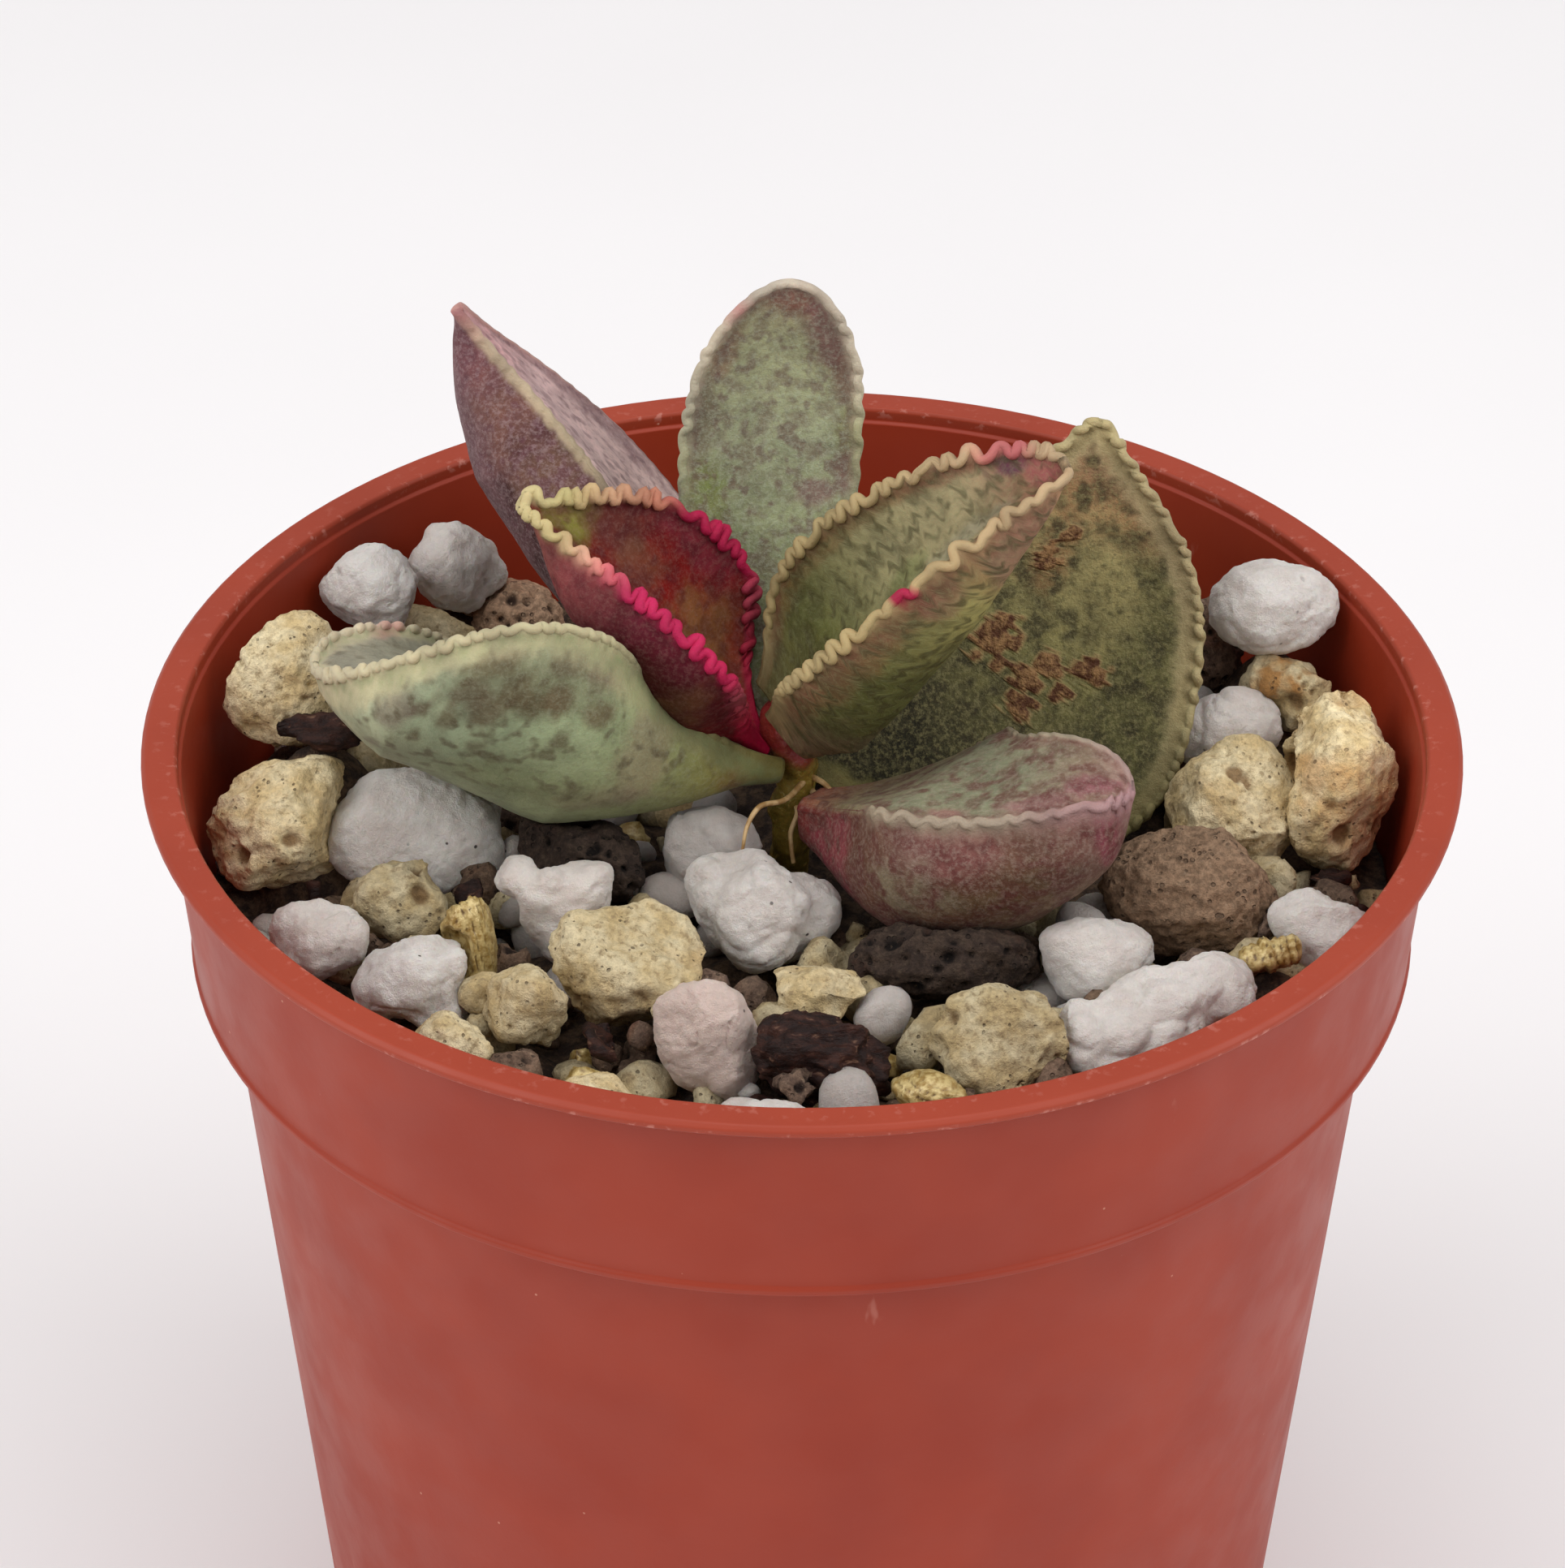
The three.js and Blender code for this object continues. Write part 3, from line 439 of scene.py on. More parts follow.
LEAVES["leaf_back_left"] = dict(
    line=[[-1.5, 3, -2.1], [-7.5, 11.3, -0.1], [-11.5, 15, 4.1], [-14.6, 14.9, 11.6]],
    face=[0.75, -0.35, 0.6], turn=[13, 31], half_width=[1.1, 3.5, 5, 4.6, 2.8, 0.9], cup=[64, 77], thick=3,
    crinkle=[[0.03, 0.06, 0.07, 0.06], [0.03, 0.04, 0.06, 0.05]],
    pitch=[[0.8, 0.9, 0.8, 0.8], [0.8, 0.8, 0.9, 0.8]], fill=0.85, ruffle=0.6, cord=0.1,
    puffs=0.35, blotch_size=0.5, dip_tone=0.5, fleck=(0.6, 0.7), blotch=(98, 58, 66), powder=0.3, sheen=0.05,
    granule=(190, 166, 166), rough=0.1, rim_width=0.3,
    upper_base=[(0, 186, 158, 142), (0.5, 217, 187, 179), (0.8, 208, 173, 170), (1, 210, 149, 149)],
    under_base=[(0, 43, 16, 16), (0.55, 65, 27, 25), (0.75, 66, 25, 25), (1, 107, 55, 57)],
    left_rim=[
        (0, 130, 108, 90), (0.5, 140, 122, 98), (0.65, 180, 160, 130), (0.93, 184, 162, 136),
        (1, 168, 112, 110),
    ],
    right_rim=[(0, 128, 100, 94), (0.6, 142, 112, 108), (0.8, 172, 134, 126), (1, 184, 134, 126)],
    upper=[(0.75, 0.75, 0.3, 0.22, 124, 88, 90, 0.7)],
    under=[
        (0.83, -0.62, 0.13, 0.3, 126, 84, 70, 0.7), (0.75, -0.2, 0.3, 0.3, 118, 82, 86, 0.7),
        (0.95, -0.5, 0.08, 0.8, 116, 66, 74, 0.6), (0.6, -0.75, 0.1, 0.2, 134, 98, 78, 0.6),
    ],
)


def bezier(points, t):
    """Places and directions along a cubic curve."""
    a, b, c, d = (np.array(p, float) for p in points)
    t = t[:, None]
    s = 1 - t
    place = s**3 * a + 3 * s**2 * t * b + 3 * s * t**2 * c + t**3 * d
    way = s**2 * (b - a) + 2 * s * t * (c - b) + t**2 * (d - c)
    return place, unit(way)


def turned_about(axis, rows, angle):
    """Each row turned about its own axis."""
    c, s = np.cos(angle)[:, None], np.sin(angle)[:, None]
    along = np.sum(axis * rows, axis=1, keepdims=True)
    return rows * c + np.cross(axis, rows) * s + axis * along * (1 - c)


def leaf_stations():
    """Where the cross-sections stand, even along the margin also round the blunt tip."""
    body = np.linspace(0, TIP_START, BODY_STATIONS, endpoint=False)
    round_tip = np.sin(np.linspace(0, math.pi / 2, TIP_STATIONS))
    return np.concatenate([body, TIP_START + (1 - TIP_START) * round_tip])


def bead_profile(rim):
    """Half of the thickness near the margin: a round cord, a thin strip behind it, then the blade."""
    cord = np.sqrt(np.clip(BEAD**2 - np.clip(BEAD - rim, 0, BEAD) ** 2, 0, None))
    thin = BEAD - GROOVE
    behind = BEAD + (thin - BEAD) * smooth(rim, BEAD, 2.2 * BEAD)
    behind = behind + (LEAF_MARGIN / 2 - thin) * smooth(rim, 2 * BEAD, BLADE_REACH)
    return np.where(rim < BEAD, cord, behind)


def blade_line(leaf, t):
    """The blade's middle line, the ways up and across from it, and its half width, curl and thickness."""
    middle, tangent = bezier(leaf["line"], t)
    face = np.array(leaf["face"], float)
    turn = np.radians(np.interp(t, [0, 1], leaf["turn"]))
    up = unit(face - tangent * (tangent @ face)[:, None])
    across = turned_about(tangent, np.cross(tangent, up), turn)
    up = turned_about(tangent, up, turn)
    beyond = np.clip((t - TIP_START) / (1 - TIP_START), 0, 1)
    width = np.maximum(spline(leaf["half_width"], t), NARROWEST)
    half = width * np.sqrt(np.clip(1 - beyond**2, 0, 1)) + TIP_BLUNT
    cup = np.radians(np.interp(t, [0, 1], leaf["cup"]))
    full = half / (FULL_FLESH * max(leaf["half_width"]))
    thick = np.maximum(leaf["thick"] * np.minimum(1, full) ** 0.7, LEAF_MARGIN)
    thick = LEAF_MARGIN + (thick - LEAF_MARGIN) * (1 - leaf.get("slim", 0.0) * smooth(t, 0.55, 0.95))
    return middle, up, across, half, cup, thick


def column(row):
    return row[:, None]


def blade(leaf, t, bare):
    """The blade before its margins are crinkled, as (station, ring) rows, and what the rest needs.

    u is the place across, from -1 at the left margin to 1 at the right one, and rim the distance from
    the nearer margin. radial points out of the curl and edgeward to the nearer margin.
    """
    middle, up, across, half, cup, thick = blade_line(leaf, t)
    bend = half / cup
    length = run_along(middle)
    slope = np.gradient(half, length + 1e-6 * np.arange(len(t)))
    lean = 1 / np.sqrt(1 + slope**2)

    u_row = np.sin(np.linspace(-1, 1, LEAF_ACROSS) * MARGIN_CROWDING) / np.sin(MARGIN_CROWDING)
    u = np.concatenate([u_row, u_row[-2:0:-1]])
    under = np.concatenate([np.zeros(LEAF_ACROSS), np.ones(LEAF_ACROSS - 2)])
    shape = (len(t), len(u))
    u, under = np.broadcast_to(u, shape), np.broadcast_to(under, shape)

    rim = (1 - np.abs(u)) * column(half * lean)
    plain = np.sqrt(np.clip(0.18 - (0.3 - np.minimum(rim, 0.3)) ** 2 * 2, 0, 1))
    plain = np.minimum(LEAF_MARGIN / 2, plain)
    profile = plain + (bead_profile(rim) - plain) * column(smooth(t, *bare))
    flesh = (column(thick) - LEAF_MARGIN) * (1 - np.abs(u) ** 2.4) * smooth(rim, 0.5 * BEAD, 5 * BEAD)
    depth = LEAF_MARGIN / 2 + np.where(under > 0, profile + flesh, -profile)

    theta = column(cup) * u
    radial = across[:, None] * np.sin(theta)[..., None] - up[:, None] * np.cos(theta)[..., None]
    edgeward = across[:, None] * np.cos(theta)[..., None] + up[:, None] * np.sin(theta)[..., None]
    edgeward = edgeward * np.sign(u)[..., None]
    centre = column(middle + up * column(bend))
    points = centre + radial * (column(bend) + depth)[..., None]
    trough = column(bend) * (np.cos(theta) - column(np.cos(cup)))
    trough = trough * np.where(under > 0, 0, leaf.get("fill", 0))
    points = points + up[:, None] * trough[..., None]
    for _ in range(leaf.get("even", 0)):
        points[1:-1] = 0.5 * points[1:-1] + 0.25 * (points[:-2] + points[2:])
    where = dict(t=np.broadcast_to(column(t), shape), u=u, under=under, rim=rim)
    return points, radial, edgeward, length, where


def shifts(leaf, which, beat, swell):
    """How far a margin moves off the blade, edgeward and along itself, at each beat of its waves."""
    ruffle = leaf.get("ruffle", 1.0)
    scallop = leaf.get("scallop", (0.6, 0.6))[which] * ruffle * np.cos(beat + 0.5)
    scallop = scallop + 1.3 * (1 - ruffle) * (np.sqrt(np.sin(beat / 2) ** 2 + 0.08) - 0.6)
    return -swell * ruffle * np.cos(beat), swell * scallop, 0.12 * swell * ruffle * np.sin(2 * beat)


def leaf_grid(leaf, seed):
    """The crinkled blade, what its painting needs at each point, and the cords along its margins."""
    t = leaf_stations()
    bare = leaf.get("bare", BARE_STALK)
    points, radial, edgeward, length, where = blade(leaf, t, bare)
    noisy = lambda x, k: np.array([noise.noise(Vector((a, k, seed))) for a in x])
    places = np.linspace(0, len(t) - 1, CORD_STEPS)
    finer_row = lambda row: np.interp(places, np.arange(len(t)), row)
    finer = lambda rows: np.stack([finer_row(row) for row in rows.T], 1)
    cords = []
    for which, (side, at) in enumerate(((-1, 0), (1, LEAF_ACROSS - 1))):
        edge = points[:, at]
        run = run_along(edge)
        pitch = spline(leaf["pitch"][which], t)
        turns = np.concatenate([[0], np.cumsum(np.diff(run) * 2 / (pitch[1:] + pitch[:-1]))])
        stray = 5.0 * noisy(run / 2.3, 3.1 + side) + 2.8 * noisy(run / 0.9, 5.2 + side)
        beat = 2 * math.pi * turns + leaf.get("stray", 1.0) * stray
        swell = spline(leaf["crinkle"][which], t) * np.clip(1 + 1.2 * noisy(run, 9.4 + side), 0.25, 1.8)
        swell = swell * smooth(t, *bare) * smooth(1.02 - t, 0, 0.06)
        reach = (1 - smooth(where["rim"], 0.1, CORD_REACH)) * (np.sign(where["u"]) == side)
        along = unit(np.gradient(edge, axis=0))
        outer = unit(np.cross(along, radial[:, at]))
        outer = outer * np.sign(np.sum((outer * edgeward[:, at])[:BODY_STATIONS]))
        radius = leaf.get("cord", CORD) * (0.3 + 0.7 * smooth(t, *bare))
        radius = radius * (1 + 0.2 * noisy(run / 0.6, 7.7 + side))
        line = finer(edge - outer * 0.95 * column(radius))
        moves = shifts(leaf, which, finer_row(beat), finer_row(swell))
        for shift, way in zip(moves, (radial[:, at], outer, along)):
            line = line + finer(way) * column(shift)
        cords.append((line, *[finer_row(row) for row in (radius, t, run)]))
        moves = shifts(leaf, which, column(beat), reach * column(swell))
        for shift, way in zip(moves, (radial, column(outer), column(along))):
            points = points + way * shift[..., None]
    steps = np.linalg.norm(np.diff(points, axis=1, prepend=points[:, :1]), axis=2)
    shape = steps.shape
    flat = [np.broadcast_to(column(length), shape), np.cumsum(steps, axis=1), np.zeros(shape)]
    return points, dict(where, flat=np.stack(flat, axis=-1)), radial, cords


UPPER, UNDER = 0, 1


def ramp(stops, t):
    """Linear-light colours along rows of place and screen colour."""
    at, *colour = np.array(stops, float).T
    return np.stack([np.interp(t, at, channel) for channel in linear(*colour)], axis=-1)


def laid_over(tone, share, colour):
    """The tone with a share of another colour over it."""
    return tone + (colour - tone) * share[:, None]


def dips_between_puffs(points, seed):
    """1 in the dips of the quilted skin and 0 on its puffs."""
    spots = smooth(-wander(points, 1.1, seed) - 0.4 * wander(points, 2.1, seed + 2), 0.0, 0.5)
    creases = 1 - smooth(np.abs(wander(points, 0.95, seed + 4)), 0.0, 0.2)
    return np.clip(0.8 * spots + 0.3 * creases, 0, 1)


def scar_mask(leaf, t, u, under, points, fine):
    """1 where old corky damage covers the upper face."""
    scar = np.zeros(len(t))
    rough = 0.3 * wander(points, 5.5, 3.0)
    for at, side, radius in leaf.get("scars", []):
        nearest = np.argmin((t - at) ** 2 + (u - side) ** 2 + 10 * under)
        away = np.linalg.norm(points - points[nearest], axis=1) / radius + 0.55 * fine + rough
        scar = np.maximum(scar, (1 - smooth(away, 0.45, 0.95)) * (under == UPPER))
    return scar


def paint_leaf(piece, leaf, where, points, dips, seed):
    t, u, under, rim = (where[k] for k in ("t", "u", "under", "rim"))
    blur = wander(points, 0.9, seed)
    fine = wander(points, 2.6, seed + 5)
    tone = np.where(under[:, None] > 0, ramp(leaf["under_base"], t), ramp(leaf["upper_base"], t))
    for face, washes in ((UPPER, leaf.get("upper", [])), (UNDER, leaf.get("under", []))):
        for at, side, long, wide, *colour, strength in washes:
            away = np.sqrt(((t - at) / long) ** 2 + ((u - side) / wide) ** 2) + 0.35 * blur + 0.25 * fine
            share = strength * (1 - smooth(away, 0.55, 1.35)) * (under == face)
            tone = laid_over(tone, share, linear(*colour))
    bare = leaf.get("bare", BARE_COLOUR)
    width = leaf["rim_width"] * (1 + 0.25 * fine)
    rimmed = (1 - smooth(rim, 0.6 * width, 1.25 * width)) * smooth(t, *leaf.get("pale", bare))
    edge = np.where(u[:, None] < 0, ramp(leaf["left_rim"], t), ramp(leaf["right_rim"], t))
    tone = laid_over(tone, rimmed, edge)
    # A darker strip just behind the margin's cord: painted shade of the groove there.
    seam, strength = leaf.get("seam", ((0, 0, 0), 0.0))
    behind = smooth(rim, 0.15, 0.35) * (1 - smooth(rim, 0.5, 1.0 + 0.3 * blur)) * strength
    tone = laid_over(tone, behind * smooth(t, *bare) * (0.7 + 0.6 * fine), linear(*seam))
    fleck = np.where(under > 0, leaf["fleck"][UNDER], leaf["fleck"][UPPER]) * (1 - rimmed)
    fleck = fleck * (1 - leaf.get("clear", 0.0) * smooth(u + 0.25 * blur, -0.5, 0.1) * (under > 0))
    paint(piece, "tone", tone)
    paint(piece, "fleck", fleck)
    paint(piece, "dips", dips * (1 - rimmed))
    paint(piece, "powder", leaf["powder"] * (1 - 0.75 * rimmed))
    paint(piece, "scar", scar_mask(leaf, t, u, under, points, fine))
    paint(piece, "flat", where["flat"])


# Materials: each is built from nodes, with sizes in millimetres


class Surface:
    """A material whose nodes are added by short calls that hand on sockets.

    The tone is the colour so far; each stain lays a further colour over a share of it.
    """

    def __init__(self, name, roughness, stretch=(1, 1, 1), **shader):
        self.material = bpy.data.materials.new(name)
        self.material.use_nodes = True
        self.nodes = self.material.node_tree.nodes
        self.nodes.clear()
        self.shader = self.add("BsdfPrincipled")
        self.link(self.shader.outputs["BSDF"], self.add("OutputMaterial").inputs["Surface"])
        self.set(self.shader, Roughness=roughness, **shader)
        self.place = self.point(stretch)

    def add(self, kind, **settings):
        node = self.nodes.new("ShaderNode" + kind)
        for key, value in settings.items():
            setattr(node, key, value)
        return node

    def link(self, source, socket):
        self.material.node_tree.links.new(source, socket)

    def set(self, node, **inputs):
        for key, value in inputs.items():
            self.plug(node.inputs[key.replace("_", " ")], value)

    def plug(self, socket, value):
        if isinstance(value, bpy.types.NodeSocket):
            self.link(value, socket)
        elif hasattr(value, "__len__"):
            socket.default_value = value[: len(socket.default_value)]
        else:
            socket.default_value = value

    def fed(self, node, values):
        """The node's output once its first inputs have these values."""
        for socket, value in zip(node.inputs, values):
            self.plug(socket, value)
        return node.outputs[0]

    def attribute(self, name, output="Fac"):
        return self.add("Attribute", attribute_name=name).outputs[output]

    def stretched(self, vector, stretch):
        return self.fed(self.add("VectorMath", operation="MULTIPLY"), (vector, stretch))

    def point(self, stretch=(1, 1, 1)):
        """The point on the surface in millimetres, stretched along the axes."""
        position = self.add("NewGeometry").outputs["Position"]
        return self.stretched(position, [s / MM for s in stretch])

    def noise(self, size, detail=2.0, rough=0.5, place=None):
        node = self.add("TexNoise")
        place = self.place if place is None else place
        self.set(node, Vector=place, Scale=1 / size, Detail=detail, Roughness=rough)
        return node.outputs[0]

    def cells(self, size):
        node = self.add("TexVoronoi")
        self.set(node, Vector=self.place, Scale=1 / size)
        return node.outputs["Distance"]

    def level(self, value, low, high, bottom=0.0, top=1.0):
        node = self.add("MapRange", interpolation_type="SMOOTHSTEP")
        return self.fed(node, (value, low, high, bottom, top))

    def cloud(self, size, low, high, detail=2.0, rough=0.5, bottom=0.0, top=1.0):
        """Noise of one size, spread out between two of its levels."""
        return self.level(self.noise(size, detail, rough), low, high, bottom, top)

    def math(self, operation, a, b):
        return self.fed(self.add("Math", operation=operation), (a, b))

    def times(self, a, b):
        return self.math("MULTIPLY", a, b)

    def scaled(self, colour, factor):
        node = self.add("VectorMath", operation="SCALE")
        self.plug(node.inputs["Scale"], factor)
        return self.fed(node, (colour,))

    def mix(self, share, a, b):
        node = self.add("Mix", data_type="RGBA")
        for socket, value in ((0, share), (6, a), (7, b)):
            self.plug(node.inputs[socket], value)
        return node.outputs[2]

    def begin(self, share, colour, other):
        self.tone = self.mix(share, rgba(colour), rgba(other))

    def stain(self, share, colour):
        self.tone = self.mix(share, self.tone, rgba(colour))

    def shade(self, factor):
        self.tone = self.scaled(self.tone, factor)

    def finish(self, relief=None, depth=0.0):
        """Lays the tone on, with a relief this deep, in millimetres."""
        self.plug(self.shader.inputs["Base Color"], self.tone)
        if relief is not None:
            bump = self.add("Bump")
            self.set(bump, Height=relief, Distance=depth * MM, Strength=1.0)
            self.plug(self.shader.inputs["Normal"], bump.outputs[0])
        return self.material


CORK, CORK_PALE, CORK_EDGE = (80, 46, 26), (150, 114, 74), (158, 132, 88)


def leaf_material(name, leaf):
    """Powdery skin: painted tones, dark mottling in the dips, fine pale grains, and corky scars."""
    s = Surface(name, 0.6, Specular_IOR_Level=leaf.get("gloss", 0.24), Sheen_Weight=leaf.get("sheen", 0.0))
    s.set(s.shader, Sheen_Roughness=0.5, Subsurface_Weight=0.06, Subsurface_Scale=0.0006)
    if "wide" in leaf:
        s.place = s.stretched(s.attribute("flat", "Vector"), (1, 1 / leaf["wide"], 1))
    s.tone = s.attribute("tone", "Color")
    s.shade(s.cloud(1.9, 0.3, 0.7, 3.0, bottom=0.8, top=1.16))
    crowd = s.cloud(2.6, 0.35, 0.65, bottom=0.05, top=-0.04)
    spots = s.math("SUBTRACT", s.noise(leaf["blotch_size"], 1.2, 0.4), crowd)
    patches = s.level(spots, *leaf.get("spots", (0.45, 0.7)), 0.0, 0.95)
    mottle = s.math("MAXIMUM", patches, s.times(s.attribute("dips"), leaf["dip_tone"]))
    s.stain(s.times(mottle, s.attribute("fleck")), leaf["blotch"])
    powder = s.attribute("powder")
    grain_size = leaf.get("grain", GRAIN)
    grain = s.noise(grain_size, 4.0, 0.75)
    s.stain(s.times(s.level(grain, 0.42, 0.66), powder), leaf["granule"])
    shadow = s.times(s.cloud(1.7 * grain_size, 0.52, 0.36, 4.0, 0.75), powder)
    s.tone = s.mix(s.times(shadow, 0.8), s.tone, s.scaled(rgba(leaf["blotch"]), 0.6))
    rust = s.noise(0.5, 3.0, 0.7)
    cork = s.mix(s.level(rust, 0.38, 0.66), rgba(CORK), rgba(CORK_PALE))
    scar = s.attribute("scar")
    s.stain(s.level(scar, 0.1, 0.4, 0.0, 0.6), CORK_EDGE)
    s.tone = s.mix(s.level(scar, 0.32, 0.6), s.tone, cork)
    relief = s.math("ADD", grain, s.times(s.times(rust, scar), 3.0))
    return s.finish(relief, leaf.get("rough", 0.05))


def perlite_material():
    s = Surface("perlite", 0.8, Subsurface_Weight=0.12, Subsurface_Scale=0.0008)
    s.begin(s.cloud(1.4, 0.35, 0.7, 3.0), (243, 237, 231), (229, 220, 213))
    s.stain(s.attribute("warm"), (232, 208, 196))
    # Grey in the cracks and pits of the white stone: painted shade.
    s.stain(s.level(s.attribute("hollow"), 0.35, 1.0, 0.0, 0.5), (160, 148, 138))
    speck = s.level(s.cells(1.1), 0.09, 0.05)
    s.stain(s.times(speck, s.cloud(3.0, 0.47, 0.6)), (80, 72, 68))
    sugar = s.noise(0.3, 5.0, 0.85)
    s.shade(s.times(s.attribute("shade"), s.level(sugar, 0.35, 0.65, 0.96, 1.06)))
    return s.finish(sugar, 0.28)


def pumice_material():
    s = Surface("pumice", 0.9)
    s.begin(s.cloud(1.6, 0.35, 0.65, 3.0, 0.6), (222, 206, 168), (202, 178, 130))
    s.stain(s.times(s.cloud(2.6, 0.5, 0.68, 3.0, 0.6), s.attribute("warm")), (180, 132, 76))
    s.stain(s.cloud(0.4, 0.54, 0.68, 3.0, 0.7, top=0.7), (156, 134, 100))
    # Brown in the pits and in the low places between the crags: painted shade.
    s.stain(s.level(s.attribute("hollow"), 0.25, 0.9, 0.0, 0.85), (118, 86, 48))
    warped = s.math("ADD", s.cells(0.36), s.times(s.noise(0.2), 0.5))
    speck = s.times(s.level(warped, 0.48, 0.34), s.cloud(1.3, 0.47, 0.62))
    s.stain(s.times(speck, 0.7), (96, 76, 52))
    s.shade(s.attribute("shade"))
    crumb = s.noise(0.26, 4.0, 0.75)
    s.shade(s.level(crumb, 0.36, 0.64, 0.8, 1.08))
    return s.finish(s.math("SUBTRACT", crumb, speck), 0.18)


def lava_material():
    s = Surface("lava", 0.85, Specular_IOR_Level=0.22)
    s.begin(s.cloud(0.7, 0.35, 0.65, 3.0, 0.6), (98, 78, 68), (130, 106, 90))
    s.stain(s.cloud(1.9, 0.56, 0.7, 3.0, 0.6, top=0.5), (126, 82, 62))
    s.stain(s.attribute("warm"), (150, 122, 96))
    # Near black in the holes: painted shade.
    s.stain(s.level(s.attribute("hollow"), 0.25, 0.8, 0.0, 0.92), (30, 20, 18))
    speck = s.times(s.level(s.cells(0.4), 0.3, 0.18), s.cloud(1.1, 0.4, 0.55))
    s.stain(s.times(speck, 0.4), (36, 26, 22))
    s.stain(s.cloud(0.22, 0.6, 0.72, top=0.5), (164, 140, 116))
    s.shade(s.attribute("shade"))
    crumb = s.noise(0.28, 4.0, 0.75)
    s.shade(s.level(crumb, 0.36, 0.64, 0.66, 1.2))
    return s.finish(s.math("SUBTRACT", crumb, speck), 0.18)


def bark_material():
    s = Surface("bark", 0.6, (0.4, 1, 1), Specular_IOR_Level=0.25)
    s.begin(s.cloud(0.6, 0.4, 0.66, 4.0, 0.7), (28, 12, 9), (62, 34, 25))
    s.stain(s.cloud(0.3, 0.62, 0.72, top=0.5), (132, 100, 80))
    return s.finish(s.noise(0.25, 4.0, 0.7), 0.15)


def vermiculite_material():
    s = Surface("vermiculite", 0.35, Metallic=0.2, Coat_Weight=0.2)
    s.begin(s.cloud(0.35, 0.35, 0.65, 3.0, 0.6), (156, 126, 66), (206, 184, 126))
    # Dark in the grooves between the plates: painted shade.
    s.stain(s.level(s.attribute("hollow"), 0.2, 0.9, 0.0, 0.9), (96, 68, 32))
    return s.finish(s.noise(0.18, 3.0, 0.6), 0.05)


def soil_material():
    s = Surface("soil", 0.95)
    s.begin(s.cloud(0.7, 0.4, 0.66, 4.0, 0.7), (52, 38, 31), (104, 82, 62))
    return s.finish(s.noise(0.35, 4.0, 0.7), 0.3)


def pot_material():
    """Satin plastic with faint clouds, pale scuffs and specks, stress marks along the lip, and painted light
    on the upper part of the lip.
    """
    s = Surface("pot_plastic", 0.46, Specular_IOR_Level=0.32)
    s.begin(s.cloud(7.0, 0.3, 0.7, 3.0), (144, 46, 23), (152, 52, 28))
    # The upper part of the lip is painted a little lighter: painted light, where that face catches more of
    # the lamps.
    s.stain(s.level(s.attribute("lip"), 0.0, 1.0, 0.0, 0.08), (206, 118, 92))
    scuff = s.level(s.noise(1.3, 3.0, 0.6, s.point((1, 1, 0.35))), 0.72, 0.82)
    s.stain(s.times(scuff, 0.35), (196, 128, 112))
    s.stain(s.times(s.level(s.cells(2.6), 0.03, 0.012), 0.5), (222, 170, 146))
    worn = s.times(s.cloud(0.5, 0.56, 0.68, 3.0, 0.6), s.attribute("edge"))
    s.stain(s.times(worn, 0.5), (214, 150, 136))
    s.stain(s.level(s.cells(9.0), 0.025, 0.015), (70, 20, 14))
    s.set(s.shader, Roughness=s.cloud(3.0, 0.3, 0.7, 3.0, bottom=0.42, top=0.54))
    return s.finish(s.noise(0.35), 0.006)


def stem_material():
    s = Surface("stem", 0.36, Subsurface_Weight=0.3, Subsurface_Scale=0.0008)
    s.begin(s.cloud(0.8, 0.35, 0.65, 3.0), (104, 86, 30), (146, 122, 52))
    s.stain(s.cloud(0.3, 0.58, 0.7, 3.0, 0.6, top=0.6), (186, 160, 92))
    s.stain(s.attribute("flush"), (140, 26, 44))
    return s.finish(s.noise(0.25, 3.0, 0.6), 0.08)


def rootlet_material():
    s = Surface("rootlet", 0.5)
    s.begin(s.cloud(0.6, 0.4, 0.6), (196, 164, 116), (156, 120, 72))
    return s.finish(s.noise(0.15), 0.02)


def margin_cord(cords):
    """The cord that runs up one margin, over the tip and down the other, and what its paint needs."""
    (left, left_size, left_t, left_run), (right, right_size, right_t, right_run) = cords
    line = np.concatenate([left, right[::-1]])
    size = np.concatenate([left_size, right_size[::-1]])
    verts, faces = rod(line, size, CORD_SIDES, len(line))
    around = lambda values: np.repeat(values, CORD_SIDES)
    run = around(np.concatenate([left_run, 2 * left_run[-1] + right_run[::-1]]))
    none = np.zeros(len(verts))
    where = dict(
        t=around(np.concatenate([left_t, right_t[::-1]])),
        u=around(np.repeat([-1.0, 1.0], CORD_STEPS)),
        under=np.ones(len(verts)),
        rim=none,
        flat=np.stack([run, np.tile(np.arange(CORD_SIDES) * 0.2, len(line)), none], 1),
    )
    return verts, faces, where


